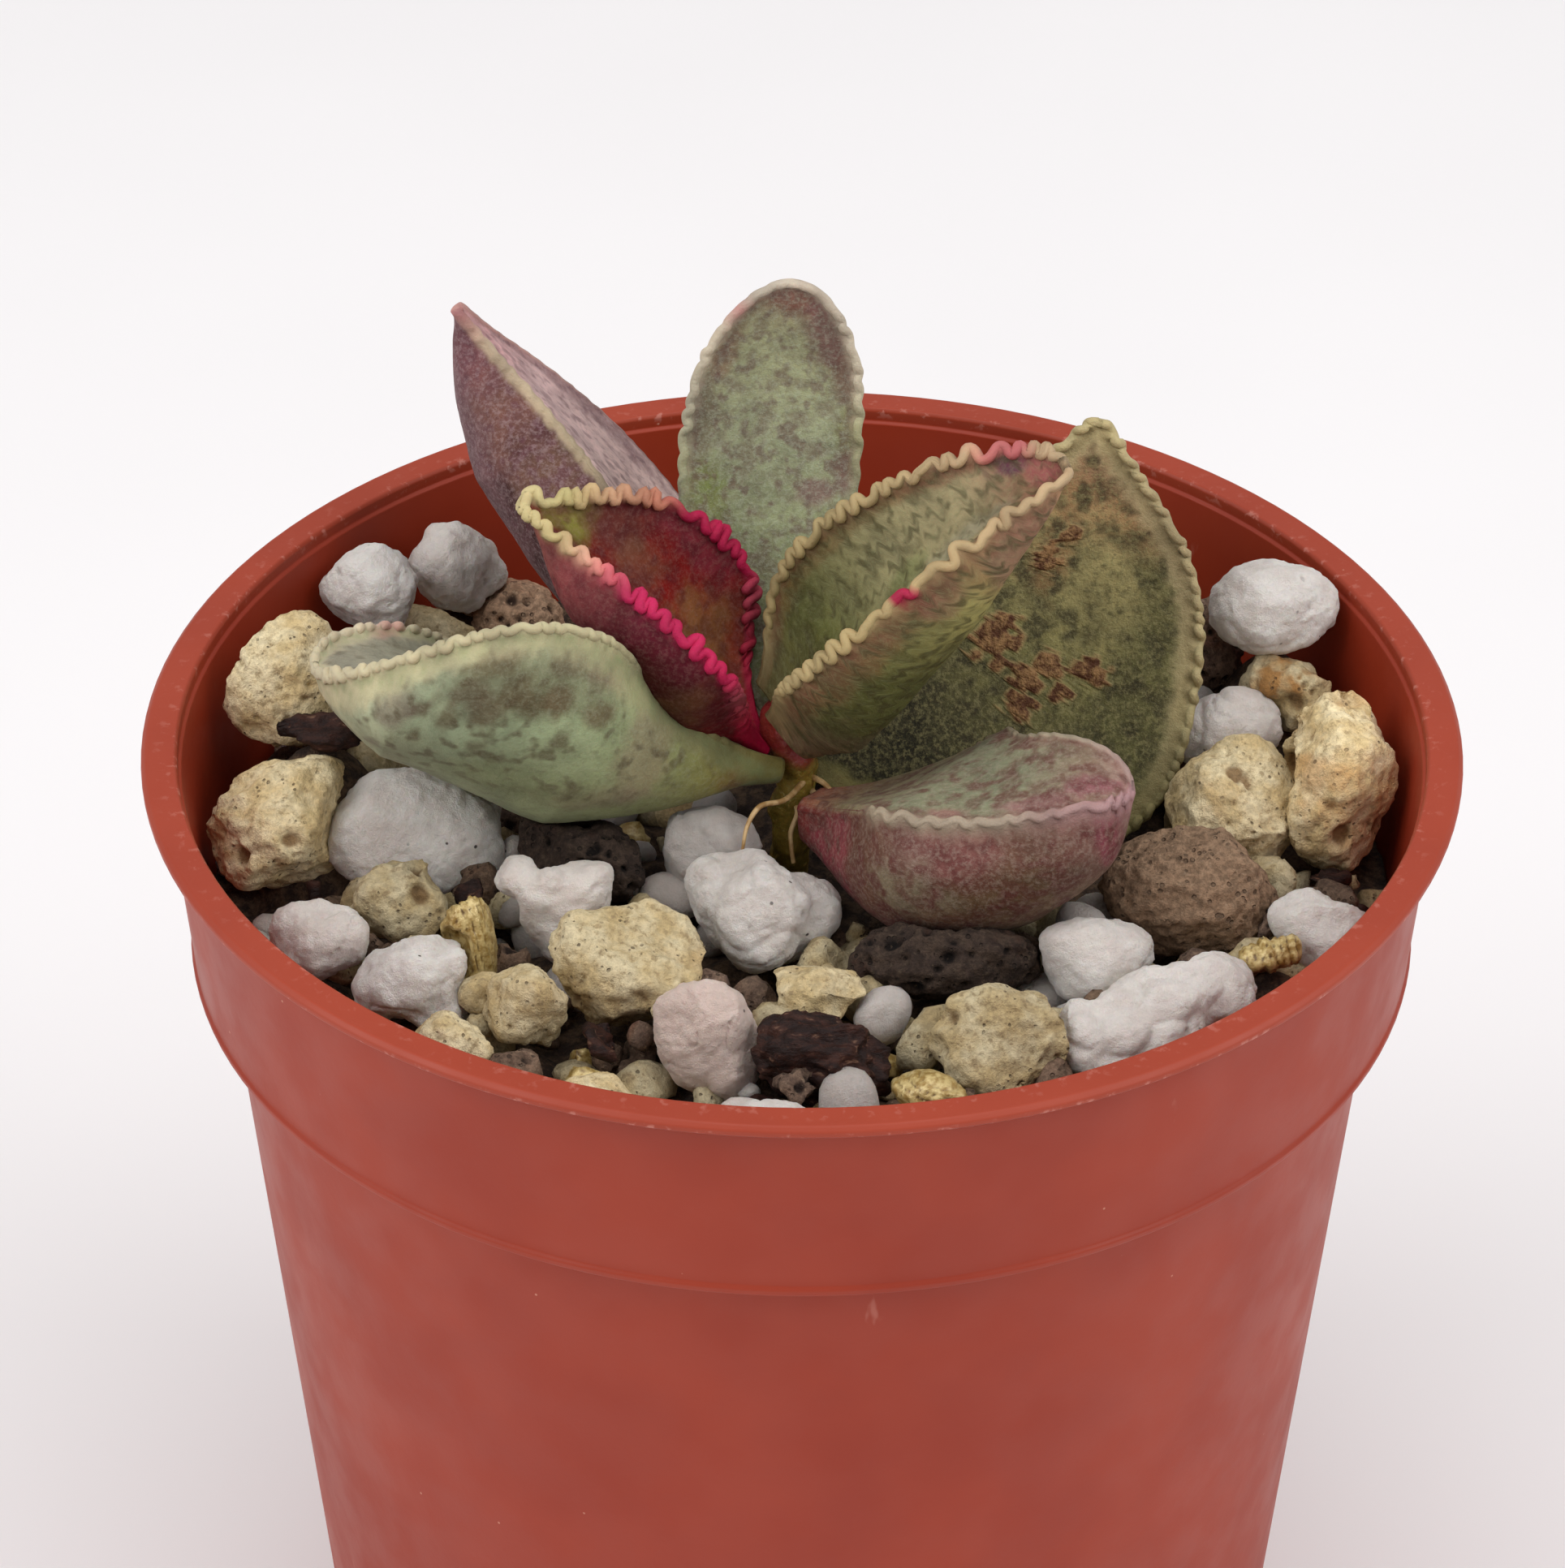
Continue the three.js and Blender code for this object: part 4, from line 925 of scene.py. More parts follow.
def dress_leaf(index, name):
    leaf = LEAVES[name]
    points, where, radial, cords = leaf_grid(leaf, 11.0 + index)
    rings, count = points.shape[:2]
    points, radial = points.reshape(-1, 3), radial.reshape(-1, 3)
    where = {k: v.reshape(-1, 3) if k == "flat" else v.ravel() for k, v in where.items()}
    quilt = where["flat"] * (1, 1 / leaf["wide"], 1) if "wide" in leaf else points
    dips = dips_between_puffs(quilt, 31.0 + index)
    swell = 0.07 * wander(points, 0.42, index) - leaf["puffs"] * PUFF_HEIGHT * dips
    outward = radial * np.where(where["under"][:, None] > 0, 1, -1)
    skin = points + outward * (swell * smooth(where["rim"], 0.5, 1.4))[:, None]
    cord, cord_faces, on_cord = margin_cord(cords)
    where = {k: np.concatenate([v, on_cord[k]]) for k, v in where.items()}
    dips = np.concatenate([dips, np.zeros(len(cord))])
    skin, faces = fused([(skin, tube_faces(rings, count)), (cord, cord_faces)])
    piece = mesh_piece(name + "_skin", skin + RIM, faces, leaf_material(name, leaf), name)
    paint_leaf(piece, leaf, where, skin, dips, 20.0 + index)


for index, name in enumerate(LEAVES):
    dress_leaf(index, name)


# The stem with its knobs, and the dry rootlets

# Place on the stem's middle line, and the radius there
STEM = [
    ((-0.4, 1.2, -10), 0.8), ((-0.4, 1.3, -7), 0.8), ((-0.3, 1.4, -5), 0.95), ((-0.1, 1.3, -3.6), 0.85),
    ((-0.4, 1.5, -2.2), 1.15), ((-0.6, 1.7, -0.8), 1.1), ((-0.6, 1.8, 0.3), 0.6),
]
ROOTLETS = [
    [(0.2, 1.0, -3.1), (-0.6, -1.0, -2.75), (-1.8, -2.3, -2.3), (-2.35, -3.2, -2.9), (-2.5, -3.7, -4.1)],
    [(0.2, 1.2, -3), (1.2, 0.2, -3.2), (1.6, -0.2, -4.2)],
    [(-0.3, 1.1, -4.3), (-0.2, 0.1, -4.2), (-0.5, -0.6, -4.9), (-0.3, -1.3, -5.9)],
    [(0.1, 1.1, -3.4), (1.0, 0.5, -3.9), (1.9, 0.6, -4.6), (2.3, 0.1, -5.6)],
]
ROOTLET_RADII = [0.15, 0.12, 0.11, 0.09, 0.06]
ROOTLET_DRIFT = 0.1  # how far they stray from a smooth line
ROOTLET_SIDES, ROOTLET_STEPS = 12, 60
STEM_SIDES, STEM_STEPS = 64, 150

verts, faces = rod([p for p, _ in STEM], [r for _, r in STEM], STEM_SIDES, STEM_STEPS)
swell = 0.3 * wander(verts, 0.75, 4) + 0.1 * wander(verts, 1.9, 9) + 0.02 * wander(verts, 6, 2)
stem_x, stem_y, stem_z = zip(*[p for p, _ in STEM])
axis = np.stack([np.interp(verts[:, 2], stem_z, row) for row in (stem_x, stem_y)], 1)
verts[:, :2] += unit(verts[:, :2] - axis) * swell[:, None]
piece = mesh_piece("stem_skin", verts + RIM, faces, stem_material(), "stem")
paint(piece, "flush", 0.85 * smooth(verts[:, 2] + 0.5 * wander(verts, 0.8, 6), -2.6, -1.4))

threads = []
for k, line in enumerate(ROOTLETS):
    thread, thread_faces = rod(line, ROOTLET_RADII[: len(line)], ROOTLET_SIDES, ROOTLET_STEPS)
    drift = np.stack([wander(thread, 0.8, seed + k) for seed in (30, 40, 50)], 1)
    threads.append((thread + ROOTLET_DRIFT * drift, thread_faces))
verts, faces = fused(threads)
mesh_piece("rootlets", verts + RIM, faces, rootlet_material())


# Stones: each packed stone is meshed finely, softened, and roughened the way its kind breaks


def corners_of(faces, spare):
    """The corners of each face as a row of four; a triangle repeats one of its own."""
    return np.array([f if len(f) == 4 else (*f, f[spare]) for f in faces])


def softened(verts, faces, rounds):
    """Moves each point towards the middle of its neighbours, a few times over."""
    quads = corners_of(faces, 0)
    a = np.concatenate([quads[:, k] for k in range(4)])
    b = np.concatenate([quads[:, (k + 1) % 4] for k in range(4)])
    real = a != b
    a, b = a[real], b[real]
    degree = np.bincount(a, minlength=len(verts)) + np.bincount(b, minlength=len(verts))
    for _ in range(rounds):
        total = [np.bincount(a, row[b], len(row)) + np.bincount(b, row[a], len(row)) for row in verts.T]
        total = np.stack(total, 1)
        verts = verts + 0.55 * (total / np.maximum(degree, 1)[:, None] - verts)
    return verts


def chance_way(draw):
    return [draw.gauss(0, 1) for _ in range(3)]


def knocked(verts, draw, count, keep):
    """Flattens the lump by a few chance planes, as broken stones are."""
    middle = (verts.min(0) + verts.max(0)) / 2
    for _ in range(count):
        way = np.array(Vector(chance_way(draw)).normalized())
        height = (verts - middle) @ way
        limit = height.max() * (keep + (0.97 - keep) * draw.random())
        verts = verts - way * (0.85 * np.maximum(height - limit, 0))[:, None]
    return verts


def normals_of(verts, faces):
    quads = corners_of(faces, 2)
    across = np.cross(verts[quads[:, 2]] - verts[quads[:, 0]], verts[quads[:, 3]] - verts[quads[:, 1]])
    total = np.zeros_like(verts)
    for k in range(4):
        for c in range(3):
            total[:, c] += np.bincount(quads[:, k], across[:, c], len(verts))
    return unit(total + 1e-12)


def pits(verts, size, radius, seed):
    """1 at the middle of scattered round holes and 0 outside them."""
    shift = Vector((seed, 2.3 * seed, -1.1 * seed))
    near = np.array([noise.voronoi(Vector(p) / size + shift)[0][0] for p in verts])
    return 1 - smooth(near, 0.4 * radius / size, radius / size)


def perlite_relief(verts, normals, seed, name):
    lumps = 0.28 * wander(verts, 0.35, seed) + 0.1 * wander(verts, 0.9, seed + 1)
    lumps = lumps + 0.06 * wander(verts, 2.0, seed) + 0.06 * wander(verts, 3.9, seed + 6)
    billows = 0.3 * (0.35 - (1 - np.abs(wander(verts, 0.5, seed + 5))) ** 5) * LUMPY.get(name, 0.25)
    crack = 1 - smooth(np.abs(wander(verts, 0.6, seed + 2)), 0.0, 0.045)
    crack = crack * smooth(wander(verts, 0.4, seed + 3), 0.1, 0.4)
    hollow = np.maximum(0.7 * crack, 0.8 * pits(verts, 1.9, 0.24, seed))
    return lumps + billows - 0.13 * hollow, hollow


def pumice_relief(verts, normals, seed, name):
    crags = 0.5 * wander(verts, 0.33, seed) + 0.36 * (0.3 - np.abs(wander(verts, 0.7, seed + 1)))
    grain = 0.08 * wander(verts, 1.7, seed + 2) + 0.1 * wander(verts, 3.2, seed)
    hollow = np.maximum(pits(verts, 2.3, 0.62, seed), 0.6 * pits(verts, 0.7, 0.2, seed + 7))
    hollow = hollow * smooth(wander(verts, 0.35, seed + 4), -0.2, 0.15)
    # The low places between the crags join the hollows, which the material paints darker as shade.
    low = smooth(-crags - grain, 0.02, 0.2)
    return crags + grain - 0.36 * hollow, np.maximum(hollow, 0.45 * low)


def lava_relief(verts, normals, seed, name):
    lumps = 0.3 * (0.4 - np.abs(wander(verts, 0.5, seed))) + 0.14 * wander(verts, 1.6, seed + 1)
    grain = 0.11 * wander(verts, 2.2, seed + 3) + 0.08 * wander(verts, 3.6, seed)
    large = pits(verts, 1.6, 0.55, seed) * SPONGY.get(name, 0.9)
    small = pits(verts, 0.72, 0.28, seed + 7) * SPONGY.get(name, 0.7)
    hollow = np.maximum(large, small)
    return lumps + grain - 0.42 * hollow, hollow


def bark_relief(verts, normals, seed, name):
    fibres = wander(verts * (0.35, 1.6, 1.6), 1.1, seed)
    flakes = np.floor(3 * wander(verts * (0.5, 1.0, 1.0), 0.9, seed + 1)) / 3
    lumps = 0.6 * wander(verts, 0.45, seed + 3)
    return lumps + 0.4 * fibres + 0.4 * flakes + 0.16 * wander(verts, 2.6, seed), smooth(-fibres, 0.1, 0.5)


def vermiculite_relief(verts, normals, seed, name):
    across = unit(np.array(PLATES_ACROSS.get(name, (0.25, 0.2, 0.95))))
    beat = (verts @ across + 0.2 * wander(verts, 0.6, seed)) / PLATE
    groove = 1 - smooth(np.abs((beat % 1.0) - 0.5) * 2, 0.0, 0.4)
    edge = np.sqrt(np.clip(1 - (normals @ across) ** 2, 0, 1))
    ledge = 0.22 * edge * wander(np.repeat(np.floor(beat)[:, None], 3, 1), 7.3, seed)
    # The grooves between the plates are returned as hollows, which the material paints dark as shade.
    return ledge - 0.14 * groove * edge + 0.03 * wander(verts, 3, seed), groove * edge


KINDS = {
    "perlite": (perlite_relief, perlite_material()),
    "pumice": (pumice_relief, pumice_material()),
    "lava": (lava_relief, lava_material()),
    "bark": (bark_relief, bark_material()),
    "vermiculite": (vermiculite_relief, vermiculite_material()),
}
STONE_VOXEL = 0.15
PERLITE_VOXEL = 0.136
SOFTENING = {"perlite": 9, "pumice": 3, "lava": 4, "bark": 3, "vermiculite": 2}
# How many chance planes knock a stone flat, and the least of its reach that each leaves
KNOCKS = {
    "perlite": (3, 0.84), "pumice": (9, 0.64), "lava": (6, 0.76), "bark": (0, 0.8), "vermiculite": (3, 0.8),
    "perlite_1": (5, 0.72), "perlite_2": (5, 0.72), "perlite_12": (5, 0.74),
}
PLATE = 0.3  # thickness of the plates that vermiculite splits into
PLATES_ACROSS = {"vermiculite_1": (0.9, 0.3, 0.2), "vermiculite_3": (0.95, 0.2, 0.1)}
# How billowy single stones of perlite are, and how deep the holes in single stones of lava
LUMPY = {
    "perlite_3": 0, "perlite_5": 0.8, "perlite_8": 0.6, "perlite_10": 0, "perlite_11": 1, "perlite_12": 0.9,
}
SPONGY = {"lava_1": 1.0, "lava_3": 0.3, "lava_4": 0.9}
# How warm and how bright single stones look beside the rest of their kind; part of the brightness is painted
# light and shade
WARM = {
    "lava_1": 0, "lava_2": 0, "lava_3": 0.75, "lava_5": 0.5,
    "perlite_9": 0.9, "pumice_11": 0.6, "pumice_12": 1.3,
}
# perlite_3 and lava_5 are painted lighter against the shade they lie in, and perlite_7 is painted darker as
# the shade under the leaf's stalk.
STONE_BRIGHTNESS_AND_PAINTED_LIGHT = {
    "lava_1": 0.24, "lava_2": 0.26, "lava_3": 0.98, "lava_4": 1.05, "lava_5": 2.2, "perlite_1": 1.07,
    "perlite_2": 1.07, "perlite_3": 1.1, "perlite_7": 0.68, "perlite_8": 0.95, "perlite_13": 1.08,
    "pumice_1": 1.1, "pumice_2": 1.25, "pumice_4": 0.76, "pumice_9": 0.8, "pumice_10": 1.08,
    "pumice_11": 1.34, "pumice_12": 0.9,
}


def roughened(kind, verts, faces, seed, name=""):
    normals = normals_of(verts, faces)
    relief, hollow = KINDS[kind][0](verts, normals, seed, name)
    return verts + normals * relief[:, None], hollow


def filling(verts, model):
    """The same lump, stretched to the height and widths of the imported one."""
    low, high = verts.min(0), verts.max(0)
    share = (model.max(0) - model.min(0)) / (high - low)
    return (verts - (low + high) / 2) * share + (model.min(0) + model.max(0)) / 2


def node_mesh(name):
    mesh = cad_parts[name].data
    verts = np.array([v.co for v in mesh.vertices], float) / MM - RIM
    return verts, [tuple(p.vertices) for p in mesh.polygons]


def dress_stone(index, name, kind, coarse, coarse_faces):
    voxel = PERLITE_VOXEL if kind == "perlite" else STONE_VOXEL
    verts, faces = reshaped(coarse, coarse_faces, "REMESH", mode="VOXEL", voxel_size=voxel)
    draw = random.Random(index)
    verts = softened(verts, faces, SOFTENING[kind])
    verts = knocked(verts, draw, *KNOCKS.get(name, KNOCKS[kind]))
    verts = softened(verts, faces, 5 if kind == "perlite" else 2)
    verts, hollow = roughened(kind, verts, faces, 3.1 * index + 1, name)
    verts = filling(verts, coarse)
    piece = mesh_piece(name + "_stone", verts + RIM, faces, KINDS[kind][1], name)
    warm = WARM.get(name, 0.25 * draw.random())
    usual = 1.0 + 0.05 * draw.random() if kind == "perlite" else 0.88 + 0.2 * draw.random()
    paint(piece, "hollow", hollow)
    paint(piece, "warm", np.full(len(verts), warm))
    paint(piece, "shade", np.full(len(verts), STONE_BRIGHTNESS_AND_PAINTED_LIGHT.get(name, usual)))


stone_names = [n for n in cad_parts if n.rsplit("_", 1)[0] in KINDS]
stone_tops = []
for index, name in enumerate(sorted(stone_names)):
    coarse, coarse_faces = node_mesh(name)
    stone_tops.append((*(coarse.min(0) + coarse.max(0))[:2] / 2, coarse[:, 2].min()))
    dress_stone(index, name, name.rsplit("_", 1)[0], coarse, coarse_faces)


# Grit: the dark fines below, then small crumbs of every kind that lie in the hollows

GRIT_DEPTH = 8.1
GRIT_BUMP = 0.3
HEAP_SLOPE = 0.4
GAP = 0.3
BED_RINGS = 60
BED_SIDE_RINGS = 14
BED_SPOKES = 180
BED_BOTTOM = 2.4
BED_CLEARANCE = 0.12  # between the grit and the pot's wall
# Inside of the pot's wall: height above the ground, radius
WALL_INSIDE = [(2, 19.5), (39.3, 23.55), (40.7, 24.85), (49, 25.75)]


def grit_level(x, y):
    ripple = np.sin(1.9 * x + 0.7 * y) + np.sin(2.3 * y - 0.9 * x) + np.sin(1.3 * x - 2.1 * y)
    level = -GRIT_DEPTH + GRIT_BUMP * ripple / 3
    for sx, sy, bottom in stone_tops:
        level = np.maximum(level, bottom - GAP - HEAP_SLOPE * ((x - sx) ** 2 + (y - sy) ** 2))
    return level


def wall_radius(height):
    return np.interp(height, *zip(*WALL_INSIDE))


def bed_mesh():
    """A heap with a flat underside: rings over the top from the middle out, then down the wall."""
    angle = circle(BED_SPOKES)
    surface = POT_HEIGHT - GRIT_DEPTH
    rings = []
    for share in np.linspace(0.02, 1, BED_RINGS):
        radius = share * (wall_radius(surface) - BED_CLEARANCE)
        x, y = radius * np.cos(angle), radius * np.sin(angle)
        rings.append(np.stack([x, y, grit_level(x, y)], 1))
    top = np.concatenate(rings)
    top[:, 2] += 0.12 * wander(top, 0.9, 3) + 0.07 * wander(top, 2.3, 8)
    sides = []
    for height in np.linspace(surface - 1.2, BED_BOTTOM, BED_SIDE_RINGS):
        radius = wall_radius(height) - BED_CLEARANCE
        x, y = radius * np.cos(angle), radius * np.sin(angle)
        sides.append(np.stack([x, y, 0 * angle + height - POT_HEIGHT], 1))
    return np.concatenate([top, *sides]), tube_faces(BED_RINGS + len(sides), BED_SPOKES, True)


bed_verts, bed_faces = bed_mesh()
mesh_piece("grit_fines", bed_verts + RIM, bed_faces, soil_material(), "grit_bed")

GRAIN_TRIES = 3800
GRAIN_SHARES = {"pumice": 0.36, "perlite": 0.2, "lava": 0.28, "bark": 0.1, "vermiculite": 0.06}
GRAIN_REACH = 25.0  # how far from the middle grains are dropped
FINE_GRAIN = 1.0  # grains larger than this get a finer mesh
OPEN_GRAIN = 0.9  # grains larger than this lie only in deep hollows
HOLLOW_DEPTH = -5.3  # what counts as a deep hollow
HIGHEST_GRAIN = -4.0
GRAIN_MODEL = 1.2  # grains are roughened at this size, whatever their own


def ball(subdivisions):
    mesh = bmesh.new()
    bmesh.ops.create_icosphere(mesh, subdivisions=subdivisions, radius=1)
    verts = np.array([v.co for v in mesh.verts])
    faces = [tuple(v.index for v in f.verts) for f in mesh.faces]
    mesh.free()
    return verts, faces


def tree_of(parts):
    verts, faces = fused(parts)
    return BVHTree.FromPolygons(list(verts), faces)


def sprinkle():
    """Drops grains one by one: each stays where it lands if that is a hollow with room for it."""
    draw = random.Random(12)
    plant = tree_of([node_mesh(n) for n in [*LEAVES, "stem"]])
    ground = tree_of([(bed_verts, bed_faces)] + [node_mesh(n) for n in stone_names])
    down = Vector((0, 0, -1))
    grains = []

    def landing(x, y):
        hit = ground.ray_cast(Vector((x, y, 5)), down)[0]
        height = hit.z if hit else -GRIT_DEPTH
        for gx, gy, gz, size, _ in grains:
            away = math.hypot(x - gx, y - gy)
            if away < size:
                height = max(height, gz + math.sqrt(size * size - away * away))
        return height

    for _ in range(GRAIN_TRIES):
        radius, angle = GRAIN_REACH * math.sqrt(draw.random()), 2 * math.pi * draw.random()
        x, y = radius * math.cos(angle), radius * math.sin(angle)
        size = 0.4 + 1.1 * draw.random() ** 1.5
        kind = draw.choices(list(GRAIN_SHARES), list(GRAIN_SHARES.values()))[0]
        z = landing(x, y)
        near = 1.4 * size
        around = [landing(x + near * math.cos(a), y + near * math.sin(a)) for a in (0, 1.57, 3.14, 4.71)]
        higher = sum(h > z + 0.3 * size for h in around)
        deep = z < HOLLOW_DEPTH
        if higher < (2 if deep else 4) or min(around) < z - 0.5 * size or z > HIGHEST_GRAIN:
            continue
        if wall_radius(POT_HEIGHT + z) - radius < 0.75 * size or (size > OPEN_GRAIN and not deep):
            continue
        middle = Vector((x, y, z + 0.45 * size))
        if plant.find_nearest(middle)[3] >= size + 0.15:
            grains.append((x, y, middle.z, size, kind))
    return grains


def grain_mesh(index, x, y, z, size, kind):
    """One crumb: its points, faces and hollows, how warm it is, and how bright, painted darker than the
    stones as shade of the hollows it lies in.
    """
    draw = random.Random(500 + index)
    verts, faces = grain_balls[size > FINE_GRAIN]
    flat = {"vermiculite": 0.5, "bark": 0.45}.get(kind, 0.8)
    shape = np.array([1 + 0.3 * draw.random(), 0.8 + 0.2 * draw.random(), flat]) * size
    facets = [(Vector(chance_way(draw)).normalized(), 0.5 + 0.35 * draw.random()) for _ in range(10)]
    reach = np.ones(len(verts))
    if kind != "perlite":
        for way, limit in facets:
            reach = np.minimum(reach, limit / np.maximum(verts @ np.array(way), 1e-3))
    turn = np.array(Matrix.Rotation(6.3 * draw.random(), 3, chance_way(draw)))
    grain = (verts * reach[:, None] * shape) @ turn.T
    grain, hollow = roughened(kind, grain / size * GRAIN_MODEL, faces, 90 + 1.7 * index)
    grain = grain * size / GRAIN_MODEL + (x, y, z)
    # Crumbs are painted darker than the stones: painted shade of the deep gaps they fill.
    warm, shade = 0.4 * draw.random(), 0.6 + 0.35 * draw.random()
    return grain, faces, hollow, np.full(len(grain), warm), np.full(len(grain), shade)


grain_balls = {False: ball(2), True: ball(3)}
grain_parts = {kind: [] for kind in KINDS}
for index, grain in enumerate(sprinkle()):
    grain_parts[grain[-1]].append(grain_mesh(index, *grain))
for kind, parts in grain_parts.items():
    verts, faces = fused([p[:2] for p in parts])
    piece = mesh_piece(f"crumbs_{kind}", verts + RIM, faces, KINDS[kind][1])
    for k, layer in enumerate(("hollow", "warm", "shade")):
        paint(piece, layer, np.concatenate([p[2 + k] for p in parts]))


# Pot: one turned profile with rounded corners, pierced by the drain holes

POT_SPOKES = 132
# Radius, height above the ground, and how much the corner is rounded
POT_PROFILE = [
    (0.6, 1, 0), (17, 1, 0.1), (17, 0, 0.15), (19.9, 0, 0.15), (20.3, 0.4, 0.2), (24.35, 39.6, 0.3),
    (24.85, 40.1, 0.15), (25.4, 40.28, 0.08), (25.78, 40.42, 0.1), (25.82, 40.7, 0.06), (25.7, 40.86, 0.05),
    (26.55, 49.38, 0.08), (27.3, 49.4, 0.06), (27.5, 49.58, 0.06), (27.5, 49.8, 0.08), (27.3, 50, 0.08),
    (26.1, 50, 0.08), (26, 49.86, 0.06), (25.98, 49.4, 0.05), (25.84, 49.3, 0.05), (25.7, 48.2, 0.4),
    (24.85, 40.7, 0.15), (23.55, 39.3, 0.4), (19.5, 2, 0.3), (0.6, 2, 0),
]
DRAIN_CIRCLE = 11
DRAIN_RADIUS = 2
CORNER_STEPS = 5
LONGEST_STEP = 2.2


def rounded_profile(corners):
    """Replaces each corner by a small arc held by close neighbours, and cuts long runs up."""
    places = [np.array(c[:2], float) for c in corners]
    line = [places[0]]
    for before, here, after, corner in zip(places, places[1:], places[2:], corners[1:]):
        back, on = unit(before - here), unit(after - here)
        reach = min(corner[2], 0.4 * np.linalg.norm(before - here), 0.4 * np.linalg.norm(after - here))
        line.append(here + back * reach * 1.25)
        for f in np.linspace(0, 1, CORNER_STEPS):
            line.append(here + back * reach * (1 - f) ** 2 + on * reach * f**2)
        line.append(here + on * reach * 1.25)
    line.append(places[-1])
    even = [line[0]]
    for a, b in zip(line, line[1:]):
        parts = max(1, math.ceil(np.linalg.norm(b - a) / LONGEST_STEP))
        even += [a + (b - a) * k / parts for k in range(1, parts + 1)]
    return even


def pierced(verts, faces):
    """Cuts the drain holes through the floor of the pot: four in a ring and one in the middle."""
    for k in range(5):
        angle = math.pi / 4 + k * math.pi / 2
        reach = DRAIN_CIRCLE if k < 4 else 0
        hole, hole_faces = turned([(DRAIN_RADIUS, -1), (DRAIN_RADIUS, 4)], 48)
        hole = hole + (reach * math.cos(angle), reach * math.sin(angle), 0)
        cutter = placed("hole", smooth_mesh("hole", hole, hole_faces))
        cut = dict(operation="DIFFERENCE", solver="EXACT", object=cutter)
        verts, faces = reshaped(verts, faces, "BOOLEAN", **cut)
        bpy.data.objects.remove(cutter)
    return verts, faces


verts, faces = pierced(*turned(rounded_profile(POT_PROFILE), POT_SPOKES))
piece = mesh_piece("pot_shell", verts, faces, pot_material(), "pot")
outside, height = np.linalg.norm(verts[:, :2], axis=1), verts[:, 2]
lip_foot = (1 - smooth(np.abs(height - 49.45), 0.1, 0.35)) * smooth(outside, 26.6, 27.3)
lip_inside = 0.8 * (1 - smooth(np.hypot(outside - 26.05, height - 49.9), 0.05, 0.3))
paint(piece, "edge", np.maximum(lip_foot, lip_inside))
# The upper part of the lip, which the material paints lighter as painted light.
paint(piece, "lip", smooth(height, 49.3, 49.7) * smooth(outside, 25.8, 26.1))


# Stage: a pale floor that rises into a pale wall, soft daylight from all round, and three lamps

FLOOR_FRONT = -1200.0
FLOOR_SIDE = 1500.0
FLOOR_FAR = 900.0
FLOOR_BEND = 400.0
FLOOR_TOP = 1600.0
DAYLIGHT = 0.54
LIT = (0, 0, 40)  # what the lamps point at


def stage_sheet():
    """A floor that curves up behind the pot, so that no line shows between floor and wall."""
    turn = np.linspace(0, math.pi / 2, 24)
    bend = zip(FLOOR_FAR + FLOOR_BEND * np.sin(turn), FLOOR_BEND - FLOOR_BEND * np.cos(turn))
    run = [(FLOOR_FRONT, 0.0), *bend, (FLOOR_FAR + FLOOR_BEND, FLOOR_TOP)]
    verts = [(x * MM, y * MM, z * MM) for y, z in run for x in (-FLOOR_SIDE, FLOOR_SIDE)]
    faces = [(2 * i, 2 * i + 1, 2 * i + 3, 2 * i + 2) for i in range(len(run) - 1)]
    s = Surface("paper", 0.9)
    s.begin(s.cloud(40.0, 0.3, 0.7), (243, 241, 242), (241, 239, 240))
    floor = placed("floor", smooth_mesh("floor", verts, faces))
    floor.data.materials.append(s.finish())


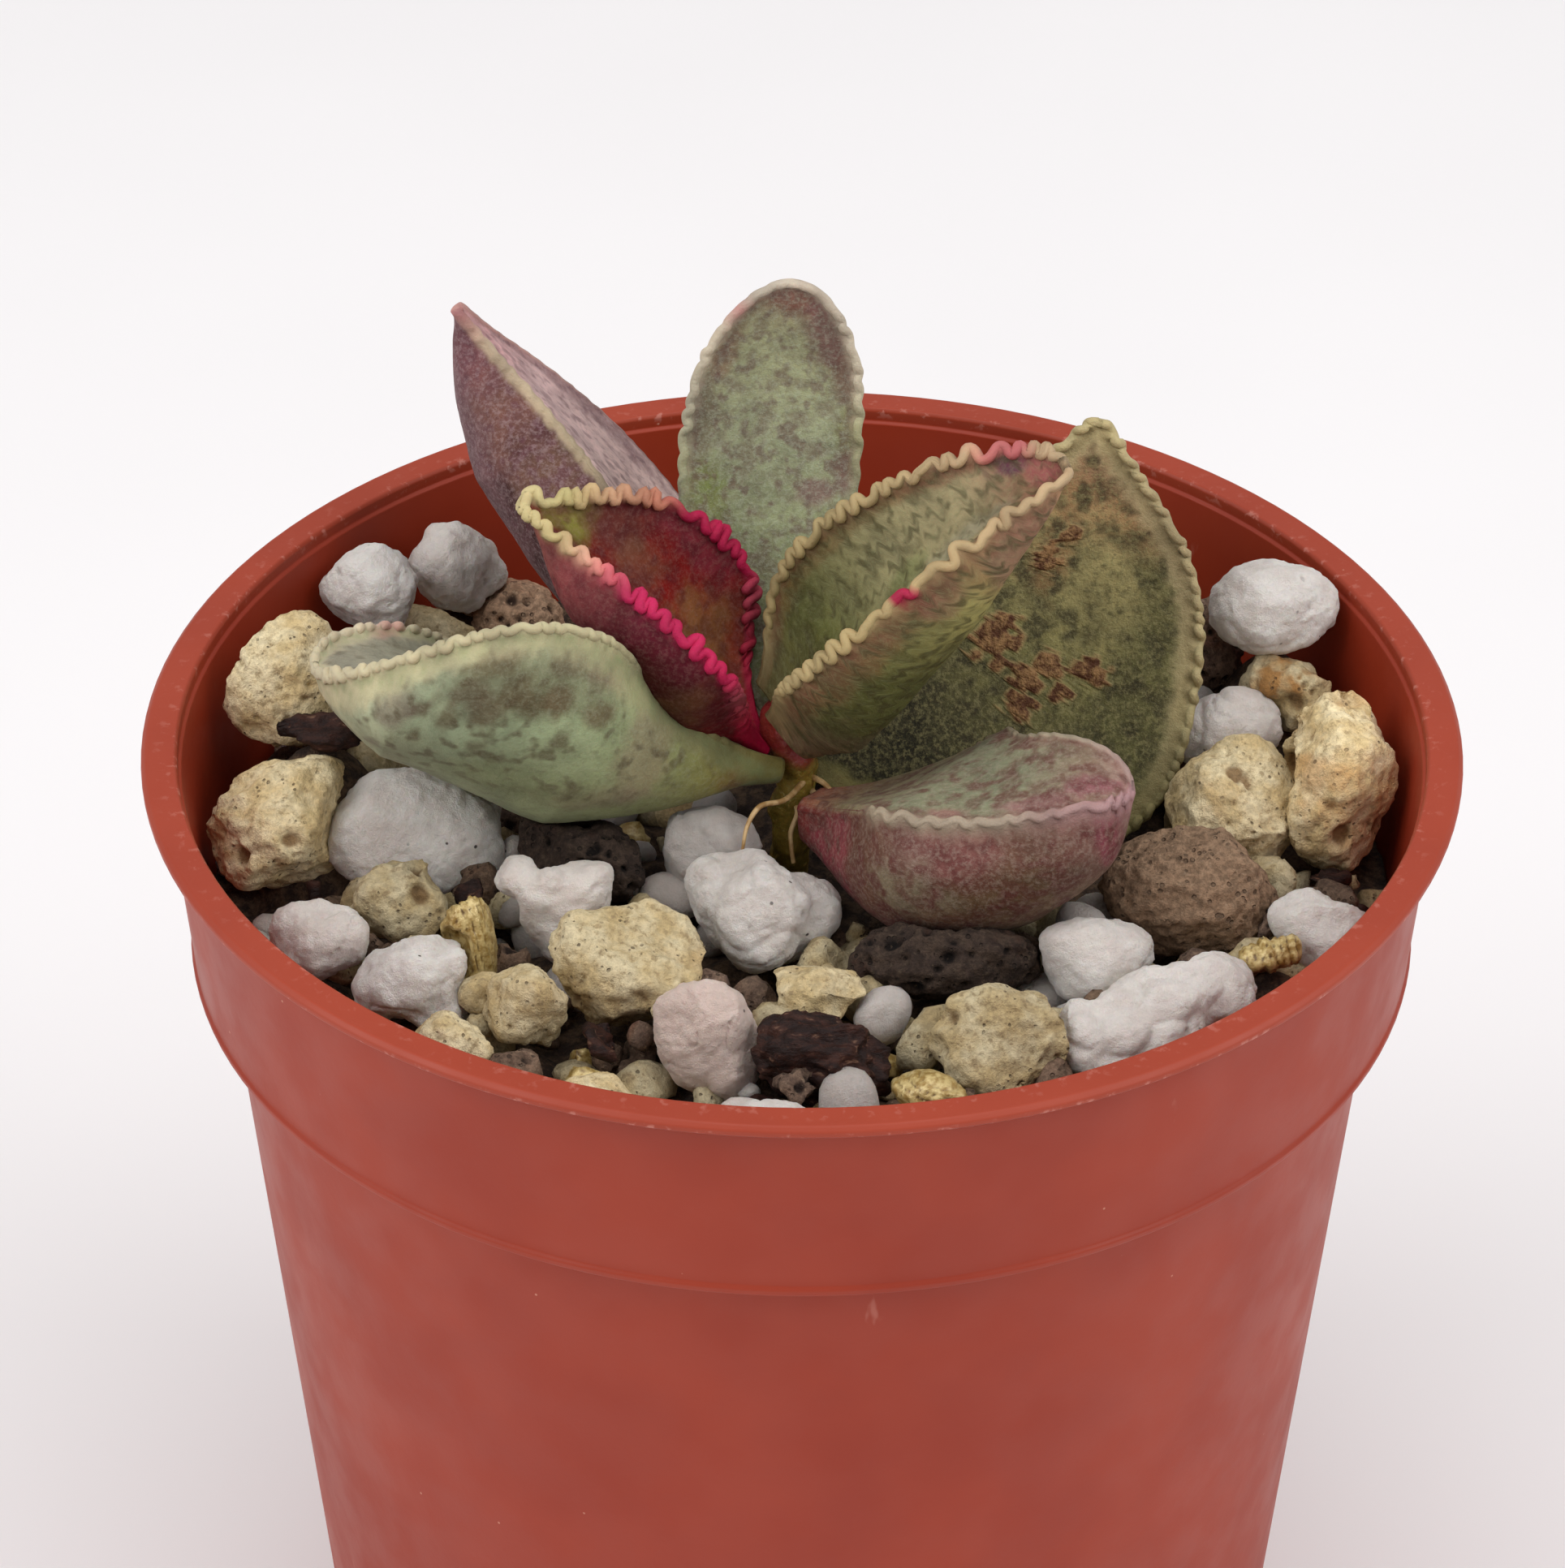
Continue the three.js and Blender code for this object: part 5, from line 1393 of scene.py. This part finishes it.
def lamp(name, place, size, power):
    """A large round lamp that shines on the plant."""
    light = bpy.data.lights.new(name, "AREA")
    light.shape = "DISK"
    light.size = size * MM
    light.energy = power
    way = Vector(LIT) - Vector(place)
    facing = way.to_track_quat("-Z", "Y").to_matrix().to_4x4()
    placed(name, light).matrix_world = Matrix.Translation(Vector(place) * MM) @ facing


stage_sheet()
lamp("left", (-340, -160, 320), 380, 1.0)
lamp("right", (340, -140, 320), 380, 0.95)
lamp("top", (0, -60, 560), 420, 0.75)
world = bpy.data.worlds.new("daylight")
world.use_nodes = True
colour, strength = world.node_tree.nodes["Background"].inputs[:2]
colour.default_value = (1.0, 0.99, 0.985, 1)
strength.default_value = DAYLIGHT
bpy.context.scene.world = world
bpy.context.scene.view_settings.view_transform = "Standard"


# Camera: how far the photograph was taken from, how steeply down, and where the rim's middle falls

CAMERA_AWAY = 300.0
CAMERA_DOWN = 33.93
CAMERA_ROLL = -0.26
CAMERA_FOCAL = 8866.6  # in pixels of the photograph
PHOTO_SIZE = (1928, 1932)
RIM_AT = (988.0, 900.7)
SENSOR = 36

down, roll = math.radians(CAMERA_DOWN), math.radians(CAMERA_ROLL)
stand = Vector((0, -CAMERA_AWAY * math.cos(down), CAMERA_AWAY * math.sin(down)))
forward = (-stand).normalized()
right = Vector((1, 0, 0))
base = Matrix((right, right.cross(forward), forward))
beside = (RIM_AT[0] - PHOTO_SIZE[0] / 2) / CAMERA_FOCAL
above = -(RIM_AT[1] - PHOTO_SIZE[1] / 2) / CAMERA_FOCAL
tilt = Vector((0, 0, 1)).rotation_difference(Vector((beside, above, 1))).to_matrix()
axes = tilt @ Matrix.Rotation(roll, 3, "Z") @ base
camera_data = bpy.data.cameras.new("camera")
camera_data.sensor_width = SENSOR
camera_data.lens = SENSOR * CAMERA_FOCAL / PHOTO_SIZE[1]
camera_data.clip_start = 0.01
camera_data.clip_end = 20
camera = placed("camera", camera_data)
turning = Matrix((axes[0], axes[1], -axes[2])).transposed().to_4x4()
camera.matrix_world = Matrix.Translation((stand + Vector(RIM)) * MM) @ turning
bpy.context.scene.camera = camera


def plain(bounds):
    return [[float(c) for c in corner] for corner in bounds]
